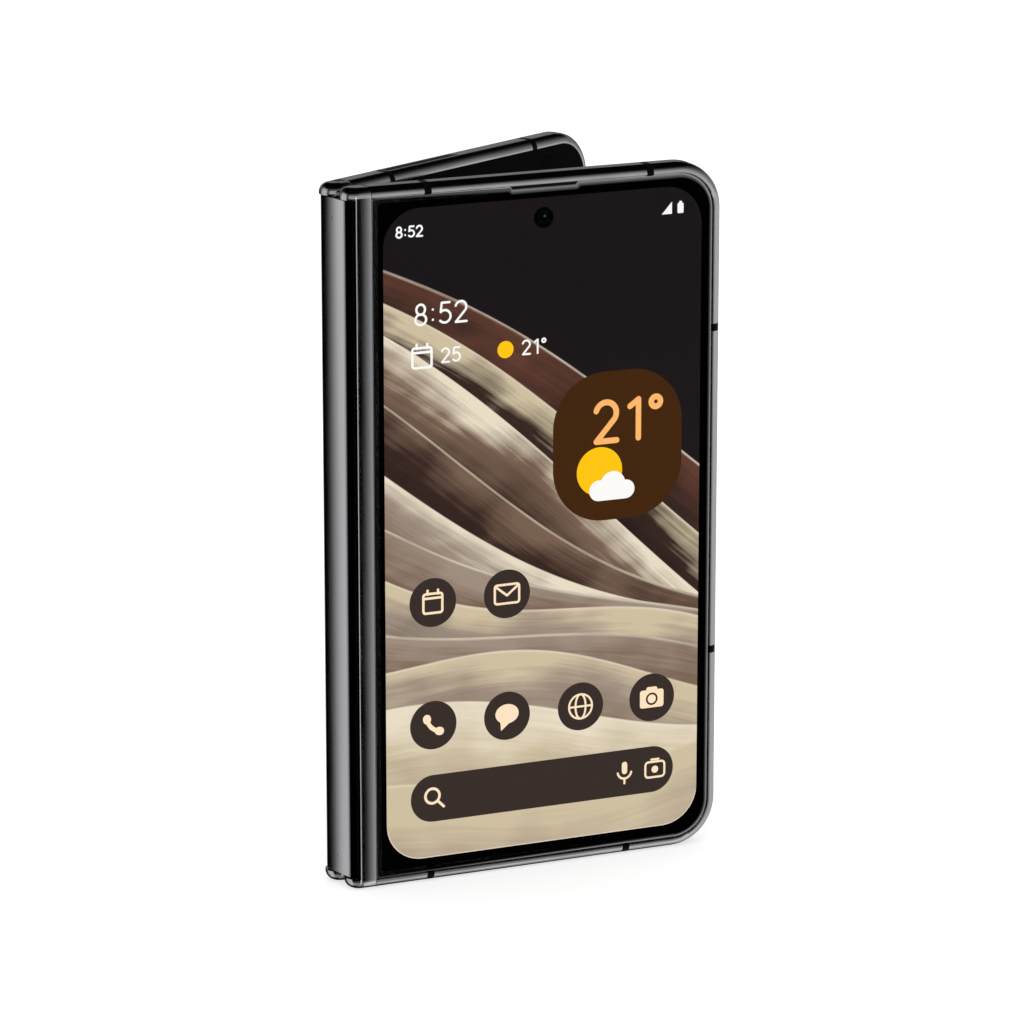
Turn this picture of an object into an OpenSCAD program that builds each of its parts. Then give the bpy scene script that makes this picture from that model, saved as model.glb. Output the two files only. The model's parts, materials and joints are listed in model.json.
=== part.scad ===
// Book-style foldable smartphone, standing on its bottom edge and opened by a small angle.
// Each half is drawn in its own frame: X from its hinge axis to its free edge,
// Y through its thickness with the outer face at -Y, and Z along its height.
// The front half's frame is the part's frame. The rear half is mirrored and swung to its place.

/* [Body] */
// Height of the phone
body_h = 139.7; // [125:0.1:170]
// Width when folded, from the hinge's round edge to the free edge
half_w = 79.5; // [74:0.1:100]
// Thickness of one half
half_t = 5.8; // [5.8:0.1:7.5]
// Gap between the two halves when closed
closed_gap = 0.5; // [0.4:0.1:1.2]
// Radius of the outer corners at the free edge
corner_r = 9.5; // [8:0.1:13]
// Radius of the rail's rounded shoulders
crown_r = 1.9; // [1.5:0.1:2.2]
// Angle between the two halves as they stand
opening_angle = 28; // [0:1:120]

/* [Frame] */
// Wall between the free rails' outside and the component bay
rail_wall = 3.4; // [3:0.1:4.5]
// Wall between the hinge rail and the component bay
hinge_wall = 1.6; // [1.2:0.1:2.5]
// Thickness of the middle floor of each frame
floor_t = 0.4; // [0.3:0.05:0.6]
// Distance of the rail seam from the hinge's round edge
seam_offset = 5.4; // [5.4:0.1:6.5]
// Width of the open seam between hinge rail and frame
seam_gap = 0.12; // [0.05:0.01:0.2]
// Radius of the component bay's corners
bay_r = 5; // [3:0.5:7]

/* [Cover side] */
// Thickness of the cover glass and of the back glass
glass_t = 0.6; // [0.5:0.05:0.7]
// Clearance around glasses and panels
glass_fit = 0.06; // [0.03:0.01:0.12]
// Width of the ledge that carries a glass
ledge = 1.3; // [1:0.1:2]
// Thickness of the cover screen panel
panel_t = 0.8; // [0.6:0.05:0.9]
// Distance from the rail seam to the lit cover screen
screen_inset = 2.5; // [2:0.1:4]
// Height of the lit cover screen's lower edge above the bottom
screen_z = 4.8; // [4:0.1:8]
// Distance of the lit cover screen's upper edge from the top
screen_top = 4.63; // [4:0.01:6]
// Distance of the lit cover screen's free edge from the phone's side
screen_side = 4.36; // [4:0.01:8]
// Radius of the lit cover screen's corners
screen_r = 7.6; // [3:0.1:9]
// Thickness of the black border round the lit cover screen
border_t = 0.3; // [0.1:0.05:0.5]

/* [Inner screen] */
// Thickness of the inner screen panel
inner_panel_t = 0.8; // [0.5:0.05:0.9]
// Thickness of the plate that backs the inner screen
support_t = 0.3; // [0.2:0.05:0.4]
// Height that the inner bezel stands over the inner screen
bezel_t = 0.25; // [0.2:0.01:0.3]
// Width of the inner bezel above and below, with the rail
bezel_end = 8.35; // [7.5:0.05:10]
// Width of the inner bezel beside the free edge, with the rail
bezel_side = 5.5; // [4:0.1:8]
// Distance from the hinge axis to the stiff part of the inner screen
flex_start = 3.4; // [3.2:0.1:6]
// Thickness of the flexible fold of the inner screen
fold_t = 0.26; // [0.2:0.01:0.3]
// Radius of the fold's bulb
fold_r = 1.7; // [1.5:0.05:1.75]
// Length that the ends of the fold stand clear of the bezels
fold_fit = 0.2; // [0.1:0.05:0.4]

/* [Hinge] */
// Height of the straight skirt under the domed hinge caps
cap_skirt = 0.3; // [0.2:0.05:0.6]
// Gap between the hinge caps and the ends of the spine
cap_gap = 0.25; // [0.2:0.05:0.5]
// Outer radius of the spine cover about each hinge axis
cover_r = 2.5; // [2.3:0.05:2.5]
// Wall of the spine cover
cover_t = 0.45; // [0.3:0.05:0.5]
// Angle that the spine cover wraps round each hinge axis
cover_wrap = 82; // [80:1:82]
// Clearance between the spine cover and the rails that slide over it
cover_clear = 0.15; // [0.1:0.01:0.2]
// Angle from the spine to the rail's edge when closed
lip_angle = 77; // [74:0.5:78]
// Radius of the hinge pins
pin_r = 0.5; // [0.4:0.05:0.55]
// Radial running clearance of pins and axles
running = 0.03; // [0.02:0.005:0.05]
// Radius of the arm's barrel round its pin
barrel_r = 1.15; // [1:0.05:1.2]
// Height of one hinge arm
arm_h = 1.5; // [1:0.1:1.5]
// Thickness of one hinge arm
arm_t = 1; // [0.8:0.05:1]
// Reach of a hinge arm from its axis
arm_reach = 11; // [9:0.1:14]
// Distance of an arm's screw from the arm's end
arm_screw_inset = 2.6; // [2:0.1:3]
// Radius of the screws' shanks
arm_screw_r = 0.5; // [0.4:0.05:0.6]
// Radius of the screws' heads
arm_head_r = 0.7; // [0.65:0.05:0.75]
// Height of the screws' heads
arm_head_h = 0.4; // [0.3:0.05:0.5]
// Thickness of each bearing plate in the hinge block
plate_t = 0.7; // [0.5:0.05:0.7]
// Gap between plates, gears and arms
stack_gap = 0.1; // [0.06:0.01:0.15]
// Thickness of the friction washers
washer_t = 0.3; // [0.2:0.05:0.35]
// Thickness of the timing gears
gear_t = 1.2; // [0.8:0.1:1.2]
// Teeth of each timing gear
gear_teeth = 12; // [12:2:14]
// Height of the gear teeth over the pitch circle
gear_addendum = 0.13; // [0.1:0.01:0.14]
// Depth of the tooth gaps under the pitch circle
gear_dedendum = 0.18; // [0.16:0.01:0.2]
// Radius of the idler gears' axles
axle_r = 0.35; // [0.3:0.01:0.4]
// Wall of the hinge block behind the spine cover
block_wall = 0.55; // [0.4:0.05:0.6]
// Wall that closes the hinge block towards the inner screen
block_cover = 0.28; // [0.2:0.01:0.3]

/* [Antenna bands] */
// Width of the plastic bands in the rails
band_w = 1.5; // [1:0.1:2]
// Place of the first top band along each half
band_x1 = 14.2; // [12:0.1:18]
// Place of the second top band of the front half
band_x2 = 61; // [50:0.1:64]
// Place of the second top band of the rear half
band_x3 = 58.6; // [50:0.1:64]
// Place of the second bottom band of both halves
band_x4 = 56.6; // [50:0.1:64]
// Height of the upper band in the free rail
band_z1 = 106.3; // [104:0.1:112]
// Height of the lower band in the free rail
band_z2 = 40.5; // [39.5:0.1:45]
// Length of the antenna window in the rear half's top rail
window_l = 22; // [10:0.5:30]
// Width of the antenna window
window_w = 1.7; // [1:0.1:1.8]

/* [Cover camera and earpiece] */
// Place of the cover camera along the front half
selfie_x = 38.5; // [34:0.1:42]
// Depth of the cover camera under the top edge
selfie_drop = 8.6; // [8:0.1:11]
// Radius of the cover camera
selfie_r = 2; // [1.6:0.1:2.4]
// Side of the cover camera's square body
selfie_side = 5.2; // [4.8:0.1:6]
// Length of the earpiece slot
ear_l = 14.3; // [10:0.1:16]
// Depth of the earpiece slot into the glass
ear_d = 0.55; // [0.4:0.05:0.8]
// Thickness of the mesh in the earpiece slot
mesh_t = 0.3; // [0.2:0.05:0.4]
// Width of the earpiece speaker
ear_speaker_w = 14; // [10:0.5:16]
// Height of the earpiece speaker
ear_speaker_h = 8; // [6:0.5:8]
// Thickness of the earpiece speaker
ear_speaker_t = 2; // [1.5:0.1:2.2]

/* [Rear cameras] */
// Width of the camera bar
bar_w = 58; // [54:0.5:60]
// Height of the camera bar
bar_h = 18; // [17:0.5:20]
// Height that the camera bar stands out
bar_out = 1.3; // [1:0.1:2.5]
// Distance from the camera bar to the free edge
bar_side = 8.5; // [8:0.1:12]
// Distance from the camera bar to the top edge
bar_drop = 9.5; // [9:0.1:14]
// Rim of the camera bar round its window
bar_rim = 2.2; // [1.8:0.1:3]
// Radius of the main and wide lens rings
lens_r = 4.2; // [3.5:0.1:4.6]
// Wall of the lens rings
lens_wall = 0.7; // [0.5:0.1:1]
// Spacing of the camera lenses
lens_pitch = 12.6; // [10.5:0.1:13]
// Side of the square camera housings
camera_side = 10.2; // [9:0.1:10.4]
// Radius of the flash
flash_r = 2.1; // [1.6:0.1:2.6]
// Radius of the inner camera
inner_cam_r = 1.5; // [1:0.1:1.8]
// Distance of the inner camera from the side bezel
inner_cam_inset = 9; // [6:0.5:20]

/* [Buttons and tray] */
// Height of the power button's middle
power_z = 97; // [94:0.5:100]
// Length of the power button
power_l = 10.5; // [8:0.5:13]
// Height of the volume rocker's middle
volume_z = 76; // [74:0.5:78]
// Length of the volume rocker
volume_l = 20; // [14:0.5:22]
// Width of the buttons
button_w = 1.9; // [1.5:0.1:2.2]
// Height that the buttons stand out of the rail
button_out = 0.35; // [0.2:0.05:0.6]
// Travel of the buttons
button_travel = 0.25; // [0.15:0.05:0.3]
// Clearance round the buttons
button_fit = 0.12; // [0.08:0.01:0.15]
// Height of the SIM tray's middle
tray_z = 29.5; // [28:0.5:31]
// Spacing of the two switches behind the volume rocker
switch_pitch = 12; // [8:0.5:14]
// Side of the switches behind the keys
switch_side = 3; // [2:0.1:3.4]
// Width of the switches through the phone's thickness
switch_w = 1.8; // [1:0.1:1.9]
// Depth of the switches behind the keys
switch_t = 0.8; // [0.5:0.05:1]
// Length of the sensor in the power button
sensor_l = 8.1; // [5:0.1:8.5]
// Width of the sensor in the power button
sensor_w = 1.2; // [0.8:0.05:1.4]
// Width of the SIM tray
tray_w = 14.4; // [13.6:0.1:15]
// Length of the SIM tray
tray_l = 17; // [15:0.5:19]
// Thickness of the SIM tray
tray_t = 1.3; // [1.1:0.1:1.5]
// Clearance round the SIM tray
tray_fit = 0.1; // [0.06:0.01:0.12]
// Rim of the SIM tray round the card
tray_rim = 1.1; // [0.9:0.05:1.4]
// Radius of the eject hole in the SIM tray
eject_r = 0.4; // [0.35:0.01:0.45]

/* [Sockets] */
// Width of the charging socket's mouth
usb_w = 8.34; // [8.3:0.01:8.4]
// Height of the charging socket's mouth
usb_h = 2.56; // [2.5:0.01:2.6]
// Depth of the charging socket
usb_depth = 6.6; // [6:0.1:8]
// Wall of the charging socket's shell
usb_wall = 0.25; // [0.2:0.01:0.28]
// Distance of the charging socket from the rail's middle, towards the back glass
usb_drop = 0.2; // [0.15:0.05:0.3]
// Place of the charging socket along the rear half
usb_x = 38; // [36:0.5:40]
// Place of the bottom speaker grille along the rear half
grille_x = 23; // [22:0.5:26]
// Number of the speaker grille's holes
grille_holes = 7; // [3:1:8]
// Spacing of the speaker grille's holes
grille_pitch = 1.7; // [1.5:0.1:1.8]
// Radius of the speaker grille's holes
grille_r = 0.55; // [0.4:0.05:0.6]

/* [Batteries and boards] */
// Thickness of the batteries
battery_t = 2.2; // [1.8:0.1:2.3]
// Distance of the batteries and boards from the hinge axis
inner_x = 12.5; // [12:0.5:14]
// Gap between the batteries and the wall of the free rail
battery_side = 3.7; // [3.2:0.1:12]
// Lowest point of the front battery
battery_z = 32; // [30:0.5:34]
// Gap between the front battery and the earpiece speaker above it
battery_top_gap = 8.6; // [2:0.1:30]
// Lowest point of the rear battery
rear_battery_z = 41; // [40:0.5:42]
// Height of the rear battery
rear_battery_h = 52; // [40:0.5:53]
// Thickness of the circuit boards
board_t = 0.8; // [0.6:0.1:1]
// Gap between boards, modules and what lies beside them
board_gap = 1.5; // [1:0.1:2]
// Thickness of the shield cans on the boards
can_t = 1.1; // [0.8:0.1:1.2]
// Margin of the boards round their shield cans
can_margin = 2; // [1:0.1:3]
// Width of the vibration motor
motor_w = 18; // [12:0.5:19]
// Height of the vibration motor
motor_h = 7; // [5:0.5:8]
// Thickness of the vibration motor
motor_t = 2; // [1.5:0.1:2.2]
// Outer radius of the charging coil
coil_r = 21; // [18:0.5:25]
// Width of the charging coil's ring
coil_band = 9; // [6:0.5:12]
// Thickness of the charging coil
coil_t = 0.45; // [0.3:0.05:0.6]

/* [Hidden] */
$fn = 64;

eps = 0.01;
band_gap = 0.3;
over = 3;
// How far a short bore runs past the faces that it opens
run_out = 1;
mid = half_t / 2;
free_x = half_w - mid;
pivot_pitch = half_t + closed_gap;
half_open = opening_angle / 2;
seam_x = seam_offset - mid;
frame_x = seam_x + seam_gap;
cavity_r = cover_r + cover_clear;
glass_x0 = frame_x;
glass_x1 = free_x - crown_r;
glass_z0 = crown_r;
glass_z1 = body_h - crown_r;
glass_r = corner_r - crown_r;
hinge_glass_r = 0.6;
glass_in = glass_t - mid;
panel_in = glass_in + panel_t;
bay_floor = panel_in + floor_t;
bezel_seat = mid - bezel_t;
screen_seat = bezel_seat - inner_panel_t;
support_seat = screen_seat - support_t;
bay_x0 = frame_x + hinge_wall;
bay_x1 = free_x - rail_wall;
bay_z0 = rail_wall;
bay_z1 = body_h - rail_wall;
screen_x0 = seam_x + screen_inset;
screen_x1 = free_x - screen_side;
screen_z1 = body_h - screen_top;
selfie_z = body_h - selfie_drop;
selfie_back = support_seat - 0.5;
mesh_fit = 0.05;
ear_throat = 1;
border_fit = 0.02;
camera_fit = 0.25;
bezel_r = 2;
fold_x = 0.1;
edge_fit = 0.05;
inner_cam_z = body_h - (bezel_end + crown_r) / 2;
inner_cam_x = free_x - bezel_side - inner_cam_inset;

cap_h = crown_r + cap_skirt;
spine_z0 = cap_h + cap_gap;
spine_h = body_h - 2 * spine_z0;
block_fit = 0.12;
block_r = cover_r - cover_t - block_fit;
block_x1 = block_r - 0.4;
gear_z = plate_t + stack_gap;
plate_b_z = gear_z + gear_t + stack_gap;
arm_z = plate_b_z + plate_t + stack_gap;
washer_z = arm_z + arm_h;
plate_c_z = washer_z + washer_t + stack_gap;
block_h = plate_c_z + plate_t;
pin_foot = 1.2;
pin_l = spine_z0 + block_h - pin_foot;
gear_pitch_r = pivot_pitch / 6;
tooth_angle = 360 / gear_teeth;
// Half angles of a tooth at its foot and at its tip, as shares of the tooth angle
tooth_foot = 0.3;
tooth_tip = 0.085;
arm_y0 = -0.12;
arm_screw_x = arm_reach - arm_screw_inset;
arm_sweep = 1.5;
hex_r = 0.3;
slot_fit = 0.1;
screw_sunk = 0.1;
pad_margin = 0.5;

can_r = 0.6;
bar_x1 = free_x - bar_side;
bar_x0 = bar_x1 - bar_w;
bar_z1 = body_h - bar_drop;
bar_z0 = bar_z1 - bar_h;
bar_r = bar_h / 2 - 1;
lens_z = (bar_z0 + bar_z1) / 2;
lens_x = bar_x0 + bar_h / 2 + 0.6;
lens_list = [for (i = [0:2]) lens_x + i * lens_pitch];
flash_x = bar_x1 - bar_h / 2;
window_in = 0.5;
lens_in = 0.9;
lens_fit = 0.05;
usb_fit = 0.05;
usb_inset = 0.3;
tongue_w = 6.6;
tongue_t = 0.7;
tongue_z = 1.4;

button_foot = free_x - rail_wall + 0.2;
switch_gap = 0.05;
switch_x1 = button_foot - button_travel - switch_gap;
tray_x0 = free_x - tray_l;
sensor_t = 0.3;
sensor_fit = 0.04;
tray_slot_y = 0.15;
tray_floor_t = 0.3;
lid_w = 1.9;

battery_x1 = bay_x1 - battery_side;
front_battery_z1 = selfie_z - ear_speaker_h / 2 - battery_top_gap;
rear_battery_z1 = rear_battery_z + rear_battery_h;
bay_mid = (usb_x - usb_w / 2 - usb_wall) - board_gap;

module rounded(w, h, r) {
    union() {
        translate([r, 0]) square([w - 2 * r, h]);
        translate([0, r]) square([w, h - 2 * r]);
        for (x = [r, w - r], y = [r, h - r])
            translate([x, y]) circle(r);
    }
}

// Plate's outline from its lower corner, with one corner radius at each side
module outline(w, h, r_left, r_right) {
    union() {
        translate([r_left, 0]) square([w - r_left - r_right, h]);
        if (r_left > 0) rounded_edge(r_left, h, r_left);
        if (r_right > 0) rounded_edge(w - r_right, h, r_right);
    }
}

// Strip along one side of a plate, with round corners centred on x
module rounded_edge(x, h, r) {
    translate([x - r, r]) square([2 * r, h - 2 * r]);
    for (z = [r, h - r])
        translate([x, z]) circle(r);
}

// Plate between two heights in Y, with one corner radius at the hinge side and one at the free side
module slab(x0, x1, z0, z1, y0, y1, r_free, r_hinge) {
    translate([x0, y1, z0])
        rotate([90, 0, 0])
            linear_extrude(y1 - y0)
                outline(x1 - x0, z1 - z0, r_hinge, r_free);
}

module block(x0, x1, z0, z1, y0, y1) {
    translate([x0, y0, z0]) cube([x1 - x0, y1 - y0, z1 - z0]);
}

module bore_y(x, z, r, y0, y1) {
    translate([x, y1, z]) rotate([90, 0, 0]) cylinder(h = y1 - y0, r = r);
}

// Both ends of the phone: the children are drawn at the bottom, and mirrored to the top
module both_ends() {
    children();
    translate([0, 0, body_h]) mirror([0, 0, 1]) children();
}

module at_rear() {
    rotate([0, 0, half_open])
        translate([0, pivot_pitch, 0])
            rotate([0, 0, half_open])
                mirror([0, 1, 0])
                    children();
}

module at_spine() {
    rotate([0, 0, half_open]) children();
}

// Section of a free rail: flat land in the middle and two rounded shoulders
module rail_section(depth) {
    union() {
        translate([0, -mid]) square([depth - crown_r, half_t]);
        translate([0, crown_r - mid]) square([depth, half_t - 2 * crown_r]);
        for (y = [crown_r - mid, mid - crown_r])
            translate([depth - crown_r, y]) circle(crown_r);
    }
}

module rail_corner() {
    translate([free_x - corner_r, 0, body_h - corner_r])
        rotate([90, 0, 0])
            rotate_extrude(angle = 90)
                intersection() {
                    rail_section(corner_r);
                    translate([0, -half_t]) square([corner_r, 2 * half_t]);
                }
}

// Full outside of one half from x0 to its free edge
module envelope(x0) {
    union() {
        translate([x0, -mid, 0])
            rotate([90, 0, 90])
                linear_extrude(free_x - corner_r - x0)
                    rounded(half_t, body_h, crown_r);
        translate([free_x - corner_r, 0, corner_r])
            linear_extrude(body_h - 2 * corner_r)
                rail_section(corner_r);
        rail_corner();
        translate([0, 0, body_h]) mirror([0, 0, 1]) rail_corner();
    }
}

// Seats of the outer glass and of the inner screen, which both run out at the hinge side
module seats() {
    slab(seam_x - over, glass_x1, glass_z0, glass_z1, -half_t, glass_in, glass_r, 0);
    slab(seam_x - over, glass_x1, glass_z0, glass_z1, support_seat, half_t, glass_r, 0);
}

module top_band_slots(x_list) {
    for (x = x_list)
        block(x - band_w / 2, x + band_w / 2, body_h - rail_wall + eps, body_h + 1, -half_t, half_t);
}

module bottom_band_slots(x_list) {
    for (x = x_list)
        block(x - band_w / 2, x + band_w / 2, -1, rail_wall - eps, -half_t, half_t);
}

module side_band_slots(z_list) {
    for (z = z_list)
        block(free_x - rail_wall + eps, free_x + 1, z - band_w / 2, z + band_w / 2, -half_t, half_t);
}

module front_band_slots() {
    top_band_slots([band_x1, band_x2]);
    bottom_band_slots([band_x1, band_x4]);
    side_band_slots([band_z1, band_z2]);
}

module rear_band_slots() {
    top_band_slots([band_x1, band_x3]);
    bottom_band_slots([band_x1, band_x4]);
    side_band_slots([band_z1, band_z2]);
}

// Recess under the outer glass, inside the ledge that carries it
module panel_recess() {
    slab(glass_x0 + ledge, glass_x1 - ledge, glass_z0 + ledge, glass_z1 - ledge,
         -mid, panel_in, glass_r - ledge, hinge_glass_r);
}

// Frame of one half: rails, floor and wall beside the hinge, with seats for both faces
module half_frame() {
    difference() {
        union() {
            difference() {
                envelope(frame_x);
                seats();
                panel_recess();
                slab(bay_x0, bay_x1, bay_z0, bay_z1, bay_floor, mid, bay_r, 1);
            }
            both_ends() arm_pad();
        }
        both_ends() arm_passage();
    }
}

module arm_pad() {
    block(bay_x0 - eps, arm_reach + pad_margin, bay_z0 - eps,
          spine_z0 + arm_z + arm_h + pad_margin, bay_floor - eps, arm_y0);
}

module arm_passage() {
    block(seam_x - 1, bay_x0 + eps, spine_z0 + arm_z - slot_fit, spine_z0 + washer_z + slot_fit,
          arm_y0, arm_y0 + arm_t + slot_fit);
    translate([arm_screw_x, arm_y0 + eps, spine_z0 + arm_z + arm_h / 2])
        rotate([90, 0, 0])
            cylinder(h = arm_y0 - bay_floor, r = arm_screw_r);
}

module front_frame() {
    color("#26272b")
        difference() {
            half_frame();
            front_band_slots();
            bore_y(selfie_x, selfie_z, selfie_r + camera_fit, -mid, mid);
            block(selfie_x - ear_l / 2 + ear_throat, selfie_x + ear_l / 2 - ear_throat,
                  glass_z1 - ear_d - ear_throat, glass_z1, -mid, panel_in);
        }
}

module front_antenna_bands() {
    color("#17181a")
        difference() {
            intersection() {
                envelope(frame_x);
                front_band_slots();
            }
            seats();
            panel_recess();
        }
}

// Section of the hinge rail through its axis, full height, with its shoulders in short straight steps
module rail_half_section() {
    steps = 9;
    shoulder = [
        for (i = [0:steps])
            [mid - crown_r + crown_r * sin(90 * i / steps), crown_r - crown_r * cos(90 * i / steps)]
    ];
    upper = [for (i = [steps:-1:0]) [shoulder[i][0], body_h - shoulder[i][1]]];
    polygon(concat([[0, 0]], shoulder, upper, [[0, body_h]]));
}

// What is open between the caps: room for the spine, and the side towards the other half
module spine_room_section() {
    edge = mid * cos(lip_angle);
    union() {
        circle(cavity_r);
        translate([-half_t, -half_t]) square([half_t - edge, 2 * half_t]);
        translate([-half_t, 0]) square([half_t + seam_offset, half_t]);
    }
}

// Rail on the hinge axis: domed caps at both ends, and between them the face that hides the spine
module hinge_rail() {
    difference() {
        union() {
            rotate([0, 0, 90]) rotate_extrude(angle = 180) rail_half_section();
            rotate([90, 0, 90])
                linear_extrude(seam_x)
                    union() {
                        rail_half_section();
                        mirror([1, 0]) rail_half_section();
                    }
        }
        translate([0, 0, cap_h]) linear_extrude(body_h - 2 * cap_h) spine_room_section();
        both_ends() translate([0, 0, pin_foot]) cylinder(h = cap_h, r = pin_r);
    }
}

module front_hinge_rail() {
    color("#3b3c40") hinge_rail();
}

module cover_glass() {
    color("#0b0b0d")
        difference() {
            slab(glass_x0 + eps, glass_x1 - glass_fit, glass_z0 + glass_fit, glass_z1 - glass_fit,
                 -mid, glass_in, glass_r - glass_fit, hinge_glass_r);
            ear_notch(-half_t, half_t, 0, 1);
        }
}

// Slot with slanted ends in the top edge of the cover glass, made smaller by fit
module ear_notch(y0, y1, fit, rise) {
    side = ear_l / 2 - fit;
    deep = ear_d - fit;
    translate([selfie_x, y1, glass_z1 - glass_fit])
        rotate([90, 0, 0])
            linear_extrude(y1 - y0)
                polygon([
                    [-side, rise], [-side, 0], [-side + deep, -deep],
                    [side - deep, -deep], [side, 0], [side, rise]
                ]);
}

module earpiece_mesh() {
    color("#050505")
        ear_notch(glass_in - mesh_t - mesh_fit, glass_in - mesh_fit, mesh_fit, 0);
}

// Outline of the lit cover screen, grown by a gap
module lit_area(gap, y0, y1) {
    slab(screen_x0 - gap, screen_x1 + gap, screen_z - gap, screen_z1 + gap, y0, y1,
         screen_r + gap, screen_r + gap);
}

module cover_screen() {
    color("#1a1618")
        difference() {
            lit_area(0, glass_in, panel_in);
            bore_y(selfie_x, selfie_z, selfie_r + camera_fit / 2, -mid, mid);
        }
}

// Black border round the lit cover screen, on the back of the glass
module screen_border() {
    color("#050506")
        difference() {
            slab(glass_x0 + ledge + glass_fit, glass_x1 - ledge - glass_fit,
                 glass_z0 + ledge + glass_fit, glass_z1 - ledge - glass_fit,
                 glass_in, glass_in + border_t, glass_r - ledge - glass_fit, hinge_glass_r);
            lit_area(border_fit, -mid, mid);
        }
}

module cover_camera() {
    half_side = selfie_side / 2;
    color("#101114")
        union() {
            bore_y(selfie_x, selfie_z, selfie_r, glass_in, selfie_back - eps);
            block(selfie_x - half_side, selfie_x + half_side, selfie_z - half_side,
                  selfie_z + half_side, bay_floor + 0.1, selfie_back);
        }
}

module earpiece_speaker() {
    x0 = selfie_x + selfie_side / 2 + board_gap;
    color("#2a2a2c")
        slab(x0, x0 + ear_speaker_w, selfie_z - ear_speaker_h / 2, selfie_z + ear_speaker_h / 2,
             bay_floor, bay_floor + ear_speaker_t, 1, 1);
}

module battery(z0, z1) {
    color("#1f2023")
        slab(inner_x, battery_x1, z0, z1, bay_floor, bay_floor + battery_t, 1.5, 1.5);
}

module front_battery() {
    battery(battery_z, front_battery_z1);
}

module front_board() {
    color("#14532d")
        slab(inner_x, battery_x1, bay_z0 + board_gap, battery_z - board_gap,
             bay_floor, bay_floor + board_t, 1, 1);
}

module front_shield_can() {
    color("#9a9da1")
        slab(inner_x + can_margin, (inner_x + battery_x1) / 2, bay_z0 + board_gap + can_margin,
             battery_z - board_gap - can_margin,
             bay_floor + board_t, bay_floor + board_t + can_t, can_r, can_r);
}

module support_plate() {
    color("#6f7276")
        slab(frame_x + glass_fit, glass_x1 - glass_fit, glass_z0 + glass_fit, glass_z1 - glass_fit,
             support_seat, screen_seat, glass_r - glass_fit, hinge_glass_r);
}

module front_support_plate() {
    support_plate();
}

module inner_panel() {
    slab(flex_start, glass_x1 - glass_fit, glass_z0 + glass_fit, glass_z1 - glass_fit,
         screen_seat, bezel_seat, glass_r - glass_fit, hinge_glass_r);
}

module front_inner_screen() {
    color("#08080a") inner_panel();
}

// Raised border round three sides of the inner screen
module bezel_ring() {
    difference() {
        slab(flex_start, glass_x1 - glass_fit, glass_z0 + glass_fit, glass_z1 - glass_fit,
             bezel_seat, mid, glass_r - glass_fit, hinge_glass_r);
        slab(flex_start - over, free_x - bezel_side, bezel_end, body_h - bezel_end,
             bezel_seat - 1, mid + 1, bezel_r, 0);
    }
}

module front_inner_bezel() {
    color("#0c0c0e") bezel_ring();
}

module hinge_arm() {
    translate([0, 0, spine_z0 + arm_z])
        difference() {
            union() {
                cylinder(h = arm_h, r = barrel_r);
                translate([0, arm_y0, 0]) cube([arm_reach, arm_t, arm_h]);
            }
            translate([0, 0, -run_out]) cylinder(h = arm_h + 2 * run_out, r = pin_r);
            translate([arm_screw_x, arm_t, arm_h / 2])
                rotate([90, 0, 0])
                    cylinder(h = 2 * arm_t, r = arm_screw_r);
        }
}

module front_hinge_arms() {
    color("#8f9296") both_ends() hinge_arm();
}

// Timing gear with straight-sided teeth, at the height of the gear stack
module gear(turn) {
    root = gear_pitch_r - gear_dedendum;
    tip = gear_pitch_r + gear_addendum;
    foot = root * sin(tooth_angle * tooth_foot);
    point = tip * sin(tooth_angle * tooth_tip);
    translate([0, 0, spine_z0 + gear_z])
        linear_extrude(gear_t)
            rotate([0, 0, turn])
                union() {
                    circle(root);
                    for (i = [0:gear_teeth - 1])
                        rotate([0, 0, i * tooth_angle])
                            polygon([
                                [root * 0.8, -foot], [root * 0.8, foot],
                                [tip, point], [tip, -point]
                            ]);
                }
}

module bored_gear(turn) {
    difference() {
        gear(turn);
        translate([0, 0, spine_z0]) cylinder(h = block_h, r = pin_r);
    }
}

module front_gears() {
    color("#b08d57")
        at_spine()
            both_ends() bored_gear(90);
}

module hinge_pin() {
    translate([0, 0, pin_foot]) cylinder(h = pin_l, r = pin_r);
}

module front_hinge_pins() {
    color("#c9ccd0") both_ends() hinge_pin();
}

module arm_screw() {
    translate([arm_screw_x, arm_y0 + arm_t, spine_z0 + arm_z + arm_h / 2])
        rotate([90, 0, 0])
            union() {
                cylinder(h = arm_y0 + arm_t - bay_floor, r = arm_screw_r);
                translate([0, 0, -arm_head_h])
                    difference() {
                        cylinder(h = arm_head_h, r = arm_head_r);
                        translate([0, 0, -eps]) cylinder(h = arm_head_h / 2, r = hex_r, $fn = 6);
                    }
            }
}

module front_screws() {
    color("#b9bcc0") both_ends() arm_screw();
}

// Outline of the spine cover across its length, closed side towards -X
module cover_section() {
    inner = cover_r - cover_t;
    translate([-cover_r, 0]) square([cover_t, pivot_pitch]);
    for (side = [0, 1])
        translate([0, side * pivot_pitch])
            mirror([0, side])
                intersection() {
                    difference() {
                        circle(cover_r);
                        circle(inner);
                    }
                    wrap_wedge();
                }
}

// Sector from the -X axis round to cover_wrap past it
module wrap_wedge() {
    far = 2 * cover_r;
    polygon([
        [0, 0], [-far, 0], [-far, -far],
        [-far * cos(cover_wrap), -far * sin(cover_wrap)]
    ]);
}

module spine_cover() {
    color("#55565b")
        at_spine()
            difference() {
                translate([0, 0, spine_z0]) linear_extrude(spine_h) union() cover_section();
                both_ends() spine_screw_hole();
            }
}

module spine_screw_hole() {
    translate([-cover_r - 1, pivot_pitch / 2, spine_z0 + arm_z + arm_h / 2])
        rotate([0, 90, 0])
            cylinder(h = cover_t + 1 + eps, r = axle_r);
}

// Section of a bearing plate, round both hinge axes
module plate_section() {
    translate([-block_r, 0]) square([block_r + block_x1, pivot_pitch]);
    circle(block_r);
    translate([0, pivot_pitch]) circle(block_r);
}

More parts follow.
